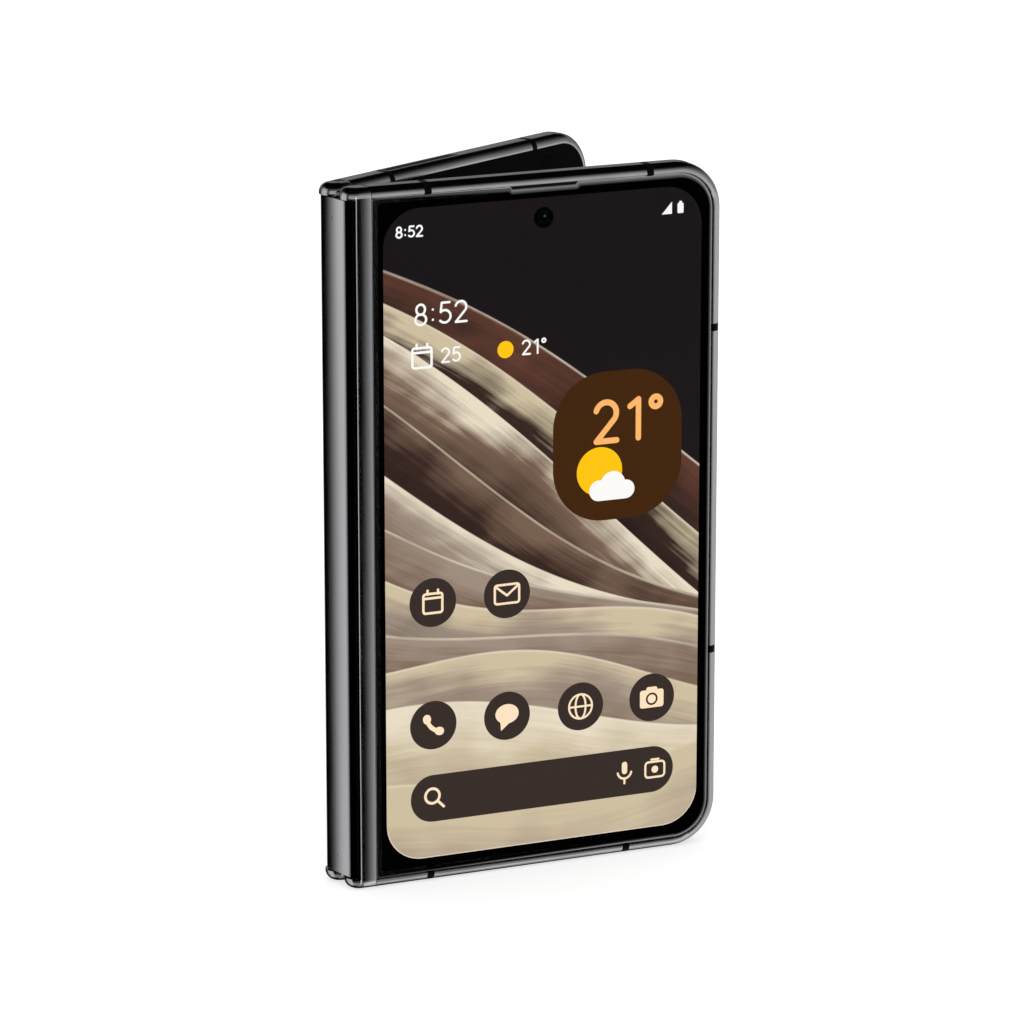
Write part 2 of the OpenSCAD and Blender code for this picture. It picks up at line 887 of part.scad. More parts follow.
// Three bearing plates on a back wall, closed towards the inner screen except where the arms swing
module hinge_block() {
    cover_x = block_x1 - block_cover;
    translate([0, 0, spine_z0])
        difference() {
            union() {
                for (z = [0, plate_b_z, plate_c_z])
                    translate([0, 0, z]) linear_extrude(plate_t) union() plate_section();
                translate([-block_r, 0, 0]) cube([block_wall, pivot_pitch, block_h]);
                translate([cover_x, 0, 0]) cube([block_cover, pivot_pitch, plate_b_z + eps]);
                translate([cover_x, arm_sweep, 0])
                    cube([block_cover, pivot_pitch - 2 * arm_sweep, block_h]);
            }
            for (y = [0, pivot_pitch])
                translate([0, y, -run_out]) cylinder(h = block_h + 2 * run_out, r = pin_r + running);
            for (i = [1, 2])
                translate([0, i * pivot_pitch / 3, -run_out])
                    cylinder(h = plate_b_z + plate_t + run_out, r = axle_r + running);
        }
}

module hinge_blocks() {
    color("#7d8085")
        at_spine()
            difference() {
                both_ends() hinge_block();
                both_ends() spine_screw_hole();
            }
}

module spine_screws() {
    color("#b9bcc0")
        at_spine()
            both_ends()
                translate([-cover_r + screw_sunk, pivot_pitch / 2, spine_z0 + arm_z + arm_h / 2])
                    rotate([0, 90, 0])
                        cylinder(h = cover_t - screw_sunk, r = axle_r);
}

module friction_washers() {
    color("#d0b060")
        at_spine()
            both_ends()
                for (y = [0, pivot_pitch])
                    translate([0, y, spine_z0 + washer_z + stack_gap / 2])
                        difference() {
                            cylinder(h = washer_t, r = barrel_r);
                            translate([0, 0, -run_out])
                                cylinder(h = washer_t + 2 * run_out, r = pin_r + running);
                        }
}

// One side of the fold from its leaf's end round to the bulb's back, at a distance from its middle line
function fold_side(reach, rise, shift) =
    let (
        span = norm([reach, rise]),
        lean = atan2(rise, reach) - asin(fold_r / span),
        normal = [sin(lean), -cos(lean)],
        leaf = [reach, -rise] + shift * normal,
        first = 270 + lean,
        points = 12
    )
    concat(
        [leaf],
        [
            for (i = [0:points])
                let (a = first - i * (first - 180) / points)
                [(fold_r + shift) * cos(a), (fold_r + shift) * sin(a)]
        ]
    );

// Flexible middle of the inner screen: a bulb between the hinge axes and a leaf to each half
module screen_fold() {
    centre = pivot_pitch / 2;
    leaf_y = bezel_seat - fold_t / 2;
    edge = [
        flex_start * cos(half_open) + leaf_y * sin(half_open) - fold_x - edge_fit,
        leaf_y * cos(half_open) - flex_start * sin(half_open)
    ];
    outer = fold_side(edge[0], centre - edge[1], fold_t / 2);
    inner = fold_side(edge[0], centre - edge[1], -fold_t / 2);
    last = len(outer) - 1;
    lower = concat(outer, [for (i = [1:last]) [outer[last - i][0], -outer[last - i][1]]]);
    upper = concat(inner, [for (i = [1:last]) [inner[last - i][0], -inner[last - i][1]]]);
    count = len(upper);
    color("#0a0a0c")
        at_spine()
            translate([fold_x, centre, bezel_end + fold_fit])
                linear_extrude(body_h - 2 * bezel_end - 2 * fold_fit)
                    polygon(concat(lower, [for (i = [1:count]) upper[count - i]]));
}

module idler(step, turn) {
    at_spine()
        both_ends()
            translate([0, step * pivot_pitch / 3, 0])
                union() {
                    gear(turn);
                    translate([0, 0, spine_z0 + stack_gap])
                        cylinder(h = plate_b_z + plate_t - 2 * stack_gap, r = axle_r);
                }
}

module front_idler_gears() {
    color("#b08d57") idler(1, 90 + tooth_angle / 2);
}

module rear_idler_gears() {
    color("#b08d57") idler(2, 90);
}

module speaker_grille_holes() {
    for (i = [0:grille_holes - 1])
        translate([grille_x + (i - (grille_holes - 1) / 2) * grille_pitch, 0, -run_out])
            cylinder(h = rail_wall + 2 * run_out, r = grille_r);
}

module usb_section(grow) {
    w = usb_w + 2 * grow;
    h = usb_h + 2 * grow;
    translate([-w / 2, -h / 2]) rounded(w, h, h / 2 - eps);
}

module button_section(length, grow) {
    w = button_w + 2 * grow;
    l = length + 2 * grow;
    translate([-w / 2, -l / 2]) rounded(w, l, w / 2 - eps);
}

module rear_frame() {
    color("#26272b")
        at_rear()
            difference() {
                half_frame();
                rear_band_slots();
                antenna_window_slot();
                camera_opening(camera_fit);
                bore_y(inner_cam_x, inner_cam_z, inner_cam_r + camera_fit, bay_floor, mid);
                speaker_grille_holes();
                translate([usb_x, -usb_drop, -run_out])
                    linear_extrude(usb_depth + 2 * run_out) usb_section(usb_wall + usb_fit);
                button_slot(power_z, power_l);
                button_slot(volume_z, volume_l);
                block(tray_x0 - tray_fit, free_x + 1, tray_z - tray_w / 2 - tray_fit,
                      tray_z + tray_w / 2 + tray_fit, tray_slot_y - tray_t / 2 - tray_fit,
                      tray_slot_y + tray_t / 2 + tray_fit);
            }
}

module button_slot(z, length) {
    translate([bay_x1 - run_out, 0, z])
        rotate([90, 0, 90])
            linear_extrude(rail_wall + 2 * run_out)
                button_section(length, button_fit);
}

module antenna_window_slot() {
    x0 = band_x1 + band_w / 2 + band_gap;
    translate([x0, -window_w / 2, body_h - 1])
        linear_extrude(2)
            polygon([
                [0, 0], [window_l - window_w, 0], [window_l, window_w], [0, window_w]
            ]);
}

module camera_opening(fit) {
    for (x = lens_list)
        block(x - camera_side / 2 - fit, x + camera_side / 2 + fit,
              lens_z - camera_side / 2 - fit, lens_z + camera_side / 2 + fit,
              glass_in - 1, bay_floor + eps);
    bore_y(flash_x, lens_z, flash_r + fit, glass_in - 1, bay_floor + eps);
}

module rear_hinge_rail() {
    color("#3b3c40") at_rear() hinge_rail();
}

module rear_antenna_bands() {
    color("#17181a")
        at_rear()
            difference() {
                intersection() {
                    envelope(frame_x);
                    union() {
                        rear_band_slots();
                        antenna_window_slot();
                    }
                }
                seats();
                panel_recess();
            }
}

module back_glass() {
    color("#101114")
        at_rear()
            difference() {
                slab(glass_x0 + eps, glass_x1 - glass_fit, glass_z0 + glass_fit,
                     glass_z1 - glass_fit, -mid, glass_in, glass_r - glass_fit, hinge_glass_r);
                slab(bar_x0 - glass_fit, bar_x1 + glass_fit, bar_z0 - glass_fit,
                     bar_z1 + glass_fit, -half_t, mid, bar_r + glass_fit, bar_r + glass_fit);
            }
}

module camera_bar() {
    color("#3b3c40")
        at_rear()
            difference() {
                slab(bar_x0, bar_x1, bar_z0, bar_z1, -mid - bar_out, glass_in, bar_r, bar_r);
                slab(bar_x0 + bar_rim, bar_x1 - bar_rim, bar_z0 + bar_rim, bar_z1 - bar_rim,
                     -mid - bar_out - 1, -mid - bar_out + window_in, bar_r - bar_rim, bar_r - bar_rim);
                for (x = lens_list)
                    bore_y(x, lens_z, lens_r + lens_fit, -2 * half_t, mid);
                bore_y(flash_x, lens_z, flash_r + lens_fit, -2 * half_t, mid);
            }
}

module camera_window() {
    color("#08080a")
        at_rear()
            difference() {
                slab(bar_x0 + bar_rim + glass_fit, bar_x1 - bar_rim - glass_fit,
                     bar_z0 + bar_rim + glass_fit, bar_z1 - bar_rim - glass_fit,
                     -mid - bar_out, -mid - bar_out + window_in,
                     bar_r - bar_rim - glass_fit, bar_r - bar_rim - glass_fit);
                for (x = lens_list)
                    bore_y(x, lens_z, lens_r + lens_fit, -2 * half_t, mid);
                bore_y(flash_x, lens_z, flash_r + lens_fit, -2 * half_t, mid);
            }
}

module lens_rings() {
    color("#8f9296")
        at_rear()
            for (x = lens_list)
                difference() {
                    bore_y(x, lens_z, lens_r, -mid - bar_out, glass_in);
                    bore_y(x, lens_z, lens_r - lens_wall, -2 * half_t, mid);
                }
}

module camera_modules() {
    color("#17181b")
        at_rear()
            for (x = lens_list)
                union() {
                    block(x - camera_side / 2, x + camera_side / 2, lens_z - camera_side / 2,
                          lens_z + camera_side / 2, glass_in + 0.05, support_seat - 0.1);
                    bore_y(x, lens_z, lens_r - lens_wall - lens_fit, -mid - bar_out + lens_in,
                           glass_in + 0.1);
                }
}

module flash() {
    color("#f2e7c8")
        at_rear()
            bore_y(flash_x, lens_z, flash_r, -mid - bar_out, glass_in);
}

module rear_battery() {
    at_rear() battery(rear_battery_z, rear_battery_z1);
}

module main_board() {
    color("#14532d")
        at_rear()
            difference() {
                slab(inner_x, bay_x1 - board_gap, rear_battery_z1 + board_gap,
                     bay_z1 - board_gap, bay_floor, bay_floor + board_t, bay_r, 1);
                camera_cutouts();
                bore_y(inner_cam_x, inner_cam_z, inner_cam_r + board_gap, -mid, mid);
            }
}

module camera_cutouts() {
    for (x = lens_list)
        block(x - camera_side / 2 - camera_fit, x + camera_side / 2 + camera_fit,
              lens_z - camera_side / 2 - camera_fit, lens_z + camera_side / 2 + camera_fit,
              -mid, mid);
}

module rear_shield_cans() {
    x0 = inner_x + can_margin;
    x1 = bay_x1 - board_gap - can_margin;
    w = (x1 - x0 - can_margin) / 2;
    z0 = rear_battery_z1 + board_gap + can_margin;
    z1 = lens_z - camera_side / 2 - camera_fit - can_margin;
    y0 = bay_floor + board_t;
    color("#9a9da1")
        at_rear()
            for (x = [x0, x1 - w])
                slab(x, x + w, z0, z1, y0, y0 + can_t, can_r, can_r);
}

module charging_coil() {
    coil_x = (glass_x0 + glass_x1) / 2;
    coil_z = (rear_battery_z + rear_battery_z1) / 2;
    color("#b87333")
        at_rear()
            difference() {
                bore_y(coil_x, coil_z, coil_r, panel_in - coil_t, panel_in);
                bore_y(coil_x, coil_z, coil_r - coil_band, -half_t, mid);
            }
}

module port_board() {
    color("#14532d")
        at_rear()
            slab(usb_x + usb_w / 2 + usb_wall + board_gap, tray_x0 - board_gap,
                 bay_z0 + board_gap, rear_battery_z - board_gap,
                 bay_floor, bay_floor + board_t, 1, 1);
}

module usb_socket() {
    color("#a9acb0")
        at_rear()
            union() {
                difference() {
                    translate([usb_x, -usb_drop, usb_inset])
                        linear_extrude(usb_depth + usb_wall) usb_section(usb_wall);
                    translate([usb_x, -usb_drop, 0])
                        linear_extrude(usb_inset + usb_depth) usb_section(0);
                }
                translate([usb_x - tongue_w / 2, -usb_drop - tongue_t / 2, tongue_z])
                    cube([tongue_w, tongue_t, usb_inset + usb_depth + eps - tongue_z]);
            }
}

module loudspeaker() {
    color("#2a2a2c")
        at_rear()
            slab(inner_x, bay_mid, bay_z0 + board_gap, rear_battery_z - motor_h - 2 * board_gap,
                 bay_floor, bay_floor + battery_t, 1.5, 1.5);
}

module vibration_motor() {
    z1 = rear_battery_z - board_gap;
    color("#9a9da1")
        at_rear()
            slab(inner_x, inner_x + motor_w, z1 - motor_h, z1, bay_floor, bay_floor + motor_t, 1, 1);
}

// Switches behind the keys, which the keys' feet reach at the end of their travel
module button_switches() {
    half_side = switch_side / 2;
    color("#c9ccd0")
        at_rear()
            for (z = [power_z, volume_z - switch_pitch / 2, volume_z + switch_pitch / 2])
                block(switch_x1 - switch_t, switch_x1, z - half_side, z + half_side,
                      -switch_w / 2, switch_w / 2);
}

module sim_reader() {
    color("#9a9da1")
        at_rear()
            block(tray_x0, bay_x1 - stack_gap, tray_z - tray_w / 2, tray_z + tray_w / 2,
                  bay_floor, tray_slot_y - tray_t / 2 - tray_fit);
}

module rear_support_plate() {
    at_rear() support_plate_with_camera();
}

module support_plate_with_camera() {
    difference() {
        support_plate();
        bore_y(inner_cam_x, inner_cam_z, inner_cam_r + camera_fit / 2, -mid, half_t);
    }
}

module rear_inner_screen() {
    color("#08080a")
        at_rear()
            difference() {
                inner_panel();
                bore_y(inner_cam_x, inner_cam_z, inner_cam_r + camera_fit / 2, -mid, half_t);
            }
}

module rear_inner_bezel() {
    color("#0c0c0e")
        at_rear()
            difference() {
                bezel_ring();
                bore_y(inner_cam_x, inner_cam_z, inner_cam_r + camera_fit / 2, -mid, half_t);
            }
}

module inner_camera() {
    color("#101114")
        at_rear()
            bore_y(inner_cam_x, inner_cam_z, inner_cam_r, 0, mid - 0.05);
}

module rear_hinge_arms() {
    color("#8f9296") at_rear() both_ends() hinge_arm();
}

module rear_gears() {
    color("#b08d57")
        at_spine()
            translate([0, pivot_pitch, 0])
                both_ends() bored_gear(90 + tooth_angle / 2);
}

module rear_hinge_pins() {
    color("#c9ccd0") at_rear() both_ends() hinge_pin();
}

module rear_screws() {
    color("#b9bcc0") at_rear() both_ends() arm_screw();
}

module button(z, length) {
    translate([button_foot, 0, z])
        rotate([90, 0, 90])
            linear_extrude(free_x - button_foot + button_out)
                button_section(length, 0);
}

module power_button() {
    color("#3b3c40")
        at_rear()
            difference() {
                button(power_z, power_l);
                pad_slab(sensor_l, sensor_w);
            }
}

module pad_slab(length, width) {
    translate([free_x + button_out - sensor_t, 0, power_z])
        rotate([90, 0, 90])
            linear_extrude(1)
                translate([-width / 2, -length / 2]) rounded(width, length, width / 2 - eps);
}

module fingerprint_pad() {
    color("#17181b")
        at_rear()
            intersection() {
                pad_slab(sensor_l - sensor_fit, sensor_w - sensor_fit);
                block(free_x - 1, free_x + button_out - sensor_fit, power_z - power_l,
                      power_z + power_l, -mid, mid);
            }
}

module volume_rocker() {
    color("#3b3c40") at_rear() button(volume_z, volume_l);
}

// SIM tray: a lid flush with the rail and a frame with the card's opening
module sim_tray() {
    color("#3b3c40")
        at_rear()
            difference() {
                union() {
                    intersection() {
                        envelope(frame_x);
                        block(free_x - lid_w, free_x + 1, tray_z - tray_w / 2, tray_z + tray_w / 2,
                              tray_slot_y - tray_t / 2, tray_slot_y + tray_t / 2);
                    }
                    block(tray_x0, free_x - lid_w, tray_z - tray_w / 2, tray_z + tray_w / 2,
                          tray_slot_y - tray_t / 2, tray_slot_y + tray_t / 2);
                }
                block(tray_x0 + tray_rim, bay_x1 - tray_rim, tray_z - tray_w / 2 + tray_rim,
                      tray_z + tray_w / 2 - tray_rim, tray_slot_y - tray_t / 2 + tray_floor_t, mid);
                translate([free_x - lid_w, tray_slot_y, tray_z - tray_w / 2 + 4 * eject_r])
                    rotate([0, 90, 0])
                        cylinder(h = lid_w + 1, r = eject_r);
            }
}

front_frame();
front_hinge_rail();
front_antenna_bands();
cover_glass();
cover_screen();
screen_border();
cover_camera();
earpiece_mesh();
earpiece_speaker();
front_battery();
front_board();
front_shield_can();
front_support_plate();
front_inner_screen();
front_inner_bezel();
front_hinge_arms();
front_gears();
front_hinge_pins();
front_screws();
spine_cover();
hinge_blocks();
spine_screws();
friction_washers();
screen_fold();
front_idler_gears();
rear_idler_gears();
rear_frame();
rear_hinge_rail();
rear_antenna_bands();
back_glass();
camera_bar();
camera_window();
lens_rings();
camera_modules();
flash();
rear_battery();
main_board();
rear_shield_cans();
charging_coil();
port_board();
usb_socket();
loudspeaker();
vibration_motor();
button_switches();
sim_reader();
rear_support_plate();
rear_inner_screen();
rear_inner_bezel();
inner_camera();
rear_hinge_arms();
rear_gears();
rear_hinge_pins();
rear_screws();
power_button();
fingerprint_pad();
volume_rocker();
sim_tray();
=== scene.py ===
import json
import math

import bmesh
import bpy
from mathutils import Matrix, Vector


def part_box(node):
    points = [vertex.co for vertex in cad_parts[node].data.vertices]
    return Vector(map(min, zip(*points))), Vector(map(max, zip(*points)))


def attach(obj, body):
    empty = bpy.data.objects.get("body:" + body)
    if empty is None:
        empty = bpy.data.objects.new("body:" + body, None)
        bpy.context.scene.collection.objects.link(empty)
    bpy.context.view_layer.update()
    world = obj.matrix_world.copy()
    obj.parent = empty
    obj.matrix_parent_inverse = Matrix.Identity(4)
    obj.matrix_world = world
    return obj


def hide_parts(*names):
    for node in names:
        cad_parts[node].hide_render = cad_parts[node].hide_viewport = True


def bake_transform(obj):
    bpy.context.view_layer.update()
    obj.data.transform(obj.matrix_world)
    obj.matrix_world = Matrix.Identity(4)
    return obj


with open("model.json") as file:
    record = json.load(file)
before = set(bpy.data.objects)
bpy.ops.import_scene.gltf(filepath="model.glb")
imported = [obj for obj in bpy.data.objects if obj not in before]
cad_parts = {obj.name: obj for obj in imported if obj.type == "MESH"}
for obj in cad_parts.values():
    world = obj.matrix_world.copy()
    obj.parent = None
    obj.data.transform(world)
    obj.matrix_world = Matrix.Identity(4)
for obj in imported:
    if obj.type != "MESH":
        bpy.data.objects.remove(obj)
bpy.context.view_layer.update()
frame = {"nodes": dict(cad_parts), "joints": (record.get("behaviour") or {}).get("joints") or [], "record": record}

MM = 0.001
NODES = frame["nodes"]
JOINTS = {j["name"]: j for j in frame["joints"]}
SLOT_OF = {p["node"]: p["material_slot"] for p in frame["record"]["subparts"]}

# Sizes and places that come from the frame, in millimetres


def box_mm(node):
    low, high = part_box(node)
    return low / MM, high / MM


GLASS_LOW, GLASS_HIGH = box_mm("cover_glass")
SCREEN_LOW, SCREEN_HIGH = box_mm("cover_screen")
FACE_Y = GLASS_LOW.y
SCREEN_Y = SCREEN_LOW.y
SCREEN_W = SCREEN_HIGH.x - SCREEN_LOW.x
REAR_PIVOT = Vector((*JOINTS["rear_fold"]["pos_m"][:2], 0)) / MM
PITCH = REAR_PIVOT.length
HALF_OPEN = math.atan2(-REAR_PIVOT.x, REAR_PIVOT.y)
OPEN_LEFT = math.radians(JOINTS["fold"]["range_deg"][1])

# A point of the rear half's own frame, in the row frame
REAR = (
    Matrix.Translation(REAR_PIVOT)
    @ Matrix.Rotation(2 * HALF_OPEN, 4, "Z")
    @ Matrix.Diagonal((1, -1, 1, 1))
)
TO_METRES = Matrix.Scale(MM, 4)

# Cover glass: its back, its corners, its curved edge, and the earpiece slot in its top edge
GLASS_BACK_Y = SCREEN_Y - 0.08
CORNER_FREE = 7.54
CORNER_HINGE = 0.6
EDGE_REACH = 1.2
EDGE_DEPTH = 0.42
EAR_X = 38.5
EAR_L = 14.3
EAR_D = 0.55
# Cover camera, behind the glass
CAMERA_X = 38.5
CAMERA_Z = 131.1
# Width of the hinge rail's flat face
RAIL_FACE = 2.6
# Painted shade on the spine cover: its colour darkens from a bit inside the hinge axes to a bit outside them
LIP_SHADE_IN = 0.25
LIP_SHADE_OUT = 0.95


# Material nodes


class Graph:
    """Short names for the nodes of one material or world"""

    def __init__(self, tree, keep=False):
        self.tree = tree
        if not keep:
            tree.nodes.clear()

    def add(self, kind, **settings):
        node = self.tree.nodes.new(kind)
        for key, value in settings.items():
            setattr(node, key, value)
        return node

    def link(self, source, target):
        self.tree.links.new(source, target)
        return target

    def put(self, socket, value):
        """A value or another node's output goes into a socket"""
        if isinstance(value, bpy.types.NodeSocket):
            self.link(value, socket)
        else:
            socket.default_value = value

    def math(self, operation, a, b=0.0, c=0.0, clamp=False):
        node = self.add("ShaderNodeMath", operation=operation, use_clamp=clamp)
        self.put(node.inputs[0], a)
        self.put(node.inputs[1], b)
        self.put(node.inputs[2], c)
        return node.outputs[0]

    def fade(self, value, start, end, low=0.0, high=1.0):
        """Smooth step from low to high as value goes from start to end"""
        node = self.add("ShaderNodeMapRange", interpolation_type="SMOOTHSTEP")
        self.put(node.inputs["Value"], value)
        self.put(node.inputs["From Min"], start)
        self.put(node.inputs["From Max"], end)
        self.put(node.inputs["To Min"], low)
        self.put(node.inputs["To Max"], high)
        return node.outputs[0]

    def place(self):
        """Place on the object, in the row frame"""
        return self.add("ShaderNodeTexCoord").outputs["Object"]

    def split(self, vector):
        node = self.add("ShaderNodeSeparateXYZ")
        self.link(vector, node.inputs[0])
        return node.outputs

    def scaled(self, vector, scale, turn=(0, 0, 0)):
        node = self.add("ShaderNodeMapping")
        self.link(vector, node.inputs["Vector"])
        node.inputs["Scale"].default_value = scale
        node.inputs["Rotation"].default_value = turn
        return node.outputs[0]

    def noise(self, vector, scale, detail=4.0, rough=0.5, distort=0.0):
        node = self.add("ShaderNodeTexNoise")
        self.link(vector, node.inputs["Vector"])
        node.inputs["Scale"].default_value = scale
        node.inputs["Detail"].default_value = detail
        node.inputs["Roughness"].default_value = rough
        node.inputs["Distortion"].default_value = distort
        return node.outputs[0]

    def ramp(self, value, stops):
        node = self.add("ShaderNodeValToRGB")
        self.link(value, node.inputs[0])
        ramp = node.color_ramp
        while len(ramp.elements) < len(stops):
            ramp.elements.new(0.5)
        for element, (place, colour) in zip(ramp.elements, stops):
            element.position = place
            element.color = (*colour, 1)
        return node.outputs[0]

    def mix(self, factor, a, b):
        node = self.add("ShaderNodeMix", data_type="RGBA")
        self.put(node.inputs[0], factor)
        self.put(node.inputs[6], a if isinstance(a, bpy.types.NodeSocket) else (*a, 1))
        self.put(node.inputs[7], b if isinstance(b, bpy.types.NodeSocket) else (*b, 1))
        return node.outputs[2]

    def bump(self, height, distance, strength=1.0):
        node = self.add("ShaderNodeBump")
        self.link(height, node.inputs["Height"])
        node.inputs["Distance"].default_value = distance
        node.inputs["Strength"].default_value = strength
        return node.outputs[0]

    def surface(self, shader):
        self.link(shader, self.add("ShaderNodeOutputMaterial").inputs["Surface"])


def srgb(r, g, b):
    """Linear colour of a colour written in 0 to 255"""

    def linear(v):
        v /= 255
        return v / 12.92 if v <= 0.04045 else ((v + 0.055) / 1.055) ** 2.4

    return linear(r), linear(g), linear(b)


def shades(colour, *factors):
    return [tuple(c * f for c in colour) for f in factors]


def new_material(name):
    material = bpy.data.materials.new(name)
    material.use_nodes = True
    return material, Graph(material.node_tree)


def finish_material(name, colour, rough, metal=0.0, spread=0.12, rough_spread=0.06, scale=900,
                    stretch=(1, 1, 1), bump=0.0, coat=0.0, level=0.5):
    """Principled finish with fine colour, roughness and height changes in the row frame"""
    material, g = new_material(name)
    shader = g.add("ShaderNodeBsdfPrincipled")
    place = g.scaled(g.place(), stretch)
    fine = g.noise(place, scale, detail=6)
    broad = g.noise(place, scale / 14, detail=2)
    low, high = shades(colour, 1 - spread, 1 + spread)
    g.link(g.ramp(broad, [(0.3, low), (0.7, high)]), shader.inputs["Base Color"])
    g.link(g.fade(fine, 0.25, 0.75, max(rough - rough_spread, 0.02), rough + rough_spread),
           shader.inputs["Roughness"])
    shader.inputs["Metallic"].default_value = metal
    shader.inputs["Specular IOR Level"].default_value = level
    shader.inputs["Coat Weight"].default_value = coat
    if bump:
        g.link(g.bump(fine, bump * MM), shader.inputs["Normal"])
    g.surface(shader.outputs[0])
    return material


def polished_metal(name, colour, rough=0.13):
    """Dark plated metal, polished along its length, with faint wear in the gloss"""
    return finish_material(name, colour, rough, metal=1.0, spread=0.1, rough_spread=0.035, scale=1500,
                           stretch=(1, 1, 0.05))


def reopened(material):
    """Node graph of a finished material, and its shader"""
    shader = next(n for n in material.node_tree.nodes if n.type == "BSDF_PRINCIPLED")
    return Graph(material.node_tree, keep=True), shader


def crowned_metal(name, colour, rough, crown, origin, axis):
    """Polished metal whose flat face is very slightly crowned. The crown is a height in
    millimetres, as a function of the place along an axis from an origin in the row frame"""
    material = polished_metal(name, colour, rough)
    g, shader = reopened(material)
    away = g.add("ShaderNodeVectorMath", operation="SUBTRACT")
    g.link(g.place(), away.inputs[0])
    away.inputs[1].default_value = Vector(origin) * MM
    along = g.add("ShaderNodeVectorMath", operation="DOT_PRODUCT")
    g.link(away.outputs[0], along.inputs[0])
    along.inputs[1].default_value = Vector(axis) / MM
    g.link(g.bump(crown(g, along.outputs["Value"]), MM), shader.inputs["Normal"])
    return material


def rail_crown(g, u):
    """Rounds the hinge rail's flat face down towards its seam"""
    face = g.math("MAXIMUM", g.math("MINIMUM", u, RAIL_FACE), 0)
    steep = g.math("MULTIPLY_ADD", face, -0.0243, -0.085)
    return g.math("MULTIPLY", steep, face)


def spine_crown(g, u):
    """Makes the spine cover's flat back slightly convex"""
    return g.math("MULTIPLY", g.math("MULTIPLY", u, u), -0.034)


def paint_lip_shade(material):
    """Painted shade: the spine cover's colour goes to near black at its edges, where it slides under the two
    halves
    """
    g, shader = reopened(material)
    colour = shader.inputs["Base Color"].links[0].from_socket
    x, y, _ = g.split(g.place())[:3]
    along = REAR_PIVOT.normalized()
    u = g.math("ADD", g.math("MULTIPLY", x, along.x), g.math("MULTIPLY", y, along.y))
    off = g.math("ABSOLUTE", g.math("SUBTRACT", u, PITCH / 2 * MM))
    # Painted shade: near black is mixed into the colour about each hinge axis
    dark = g.fade(off, (PITCH / 2 - LIP_SHADE_IN) * MM, (PITCH / 2 + LIP_SHADE_OUT) * MM)
    g.link(g.mix(dark, colour, (0.002, 0.002, 0.002)), shader.inputs["Base Color"])
    return material


def brushed_steel(name, colour=(0.5, 0.51, 0.53)):
    return finish_material(name, colour, 0.3, metal=1.0, spread=0.12, rough_spread=0.1, scale=2500,
                           stretch=(0.06, 1, 1), bump=0.01)


def clear_glass():
    """Clear cover glass, faintly grey in its mass"""
    material, g = new_material("clear_glass")
    shader = g.add("ShaderNodeBsdfPrincipled")
    smears = g.noise(g.place(), 60, detail=3)
    g.link(g.fade(smears, 0.35, 0.75, 0.0, 0.012), shader.inputs["Roughness"])
    shader.inputs["Base Color"].default_value = (0.97, 0.98, 0.98, 1)
    shader.inputs["Transmission Weight"].default_value = 1.0
    shader.inputs["IOR"].default_value = 1.5
    g.surface(shader.outputs[0])
    return material


def glass_rim_painted_sheen():
    """Polished curved edge of the cover glass with a painted highlight: its colour is brightest at the outer side
    and darkens towards the black border
    """
    material = polished_metal("glass_rim", (0.6, 0.6, 0.61), 0.07)
    g, shader = reopened(material)
    edge = g.add("ShaderNodeAttribute", attribute_name="rim").outputs["Fac"]
    # Painted highlight: full brightness at the outer side of the curve, falling to black inwards
    painted_sheen_tones = ((0, 1), (0.18, 1), (0.25, 0.4), (0.34, 0.2), (0.5, 0.085), (0.66, 0.045), (0.82, 0.018), (1, 0))
    g.link(g.ramp(edge, [(place, (tone,) * 3) for place, tone in painted_sheen_tones]), shader.inputs["Base Color"])
    return material


# Brightness and colours of the display
LIT = 1.13
UNLIT = (0.004, 0.004, 0.005, 1)
NIGHT = srgb(26, 22, 24)
UMBER = srgb(58, 40, 34)
RUST = srgb(96, 60, 48)
BARK = srgb(120, 96, 80)
DUST = srgb(158, 141, 126)
CREAM = srgb(206, 190, 160)
PEARL = srgb(232, 219, 196)
DISC = srgb(56, 46, 42)
GLYPH = srgb(255, 226, 192)
BADGE = srgb(66, 38, 14)
PEACH = srgb(255, 182, 106)
WHITE = srgb(250, 248, 246)
AMBER = srgb(255, 196, 18)


def display_ink(name, colour, strength=LIT):
    """Lit area of one colour on the display, with its faint pixel grain"""
    material, g = new_material(name)
    shader = g.add("ShaderNodeBsdfPrincipled")
    grain = g.noise(g.place(), 9000, detail=1)
    low, high = shades(colour, 0.97, 1.03)
    shown = g.ramp(grain, [(0.3, low), (0.7, high)])
    shader.inputs["Base Color"].default_value = UNLIT
    shader.inputs["Roughness"].default_value = 0.4
    shader.inputs["Specular IOR Level"].default_value = 0
    g.link(shown, shader.inputs["Emission Color"])
    shader.inputs["Emission Strength"].default_value = strength
    g.surface(shader.outputs[0])
    material.cycles.emission_sampling = "NONE"
    return material


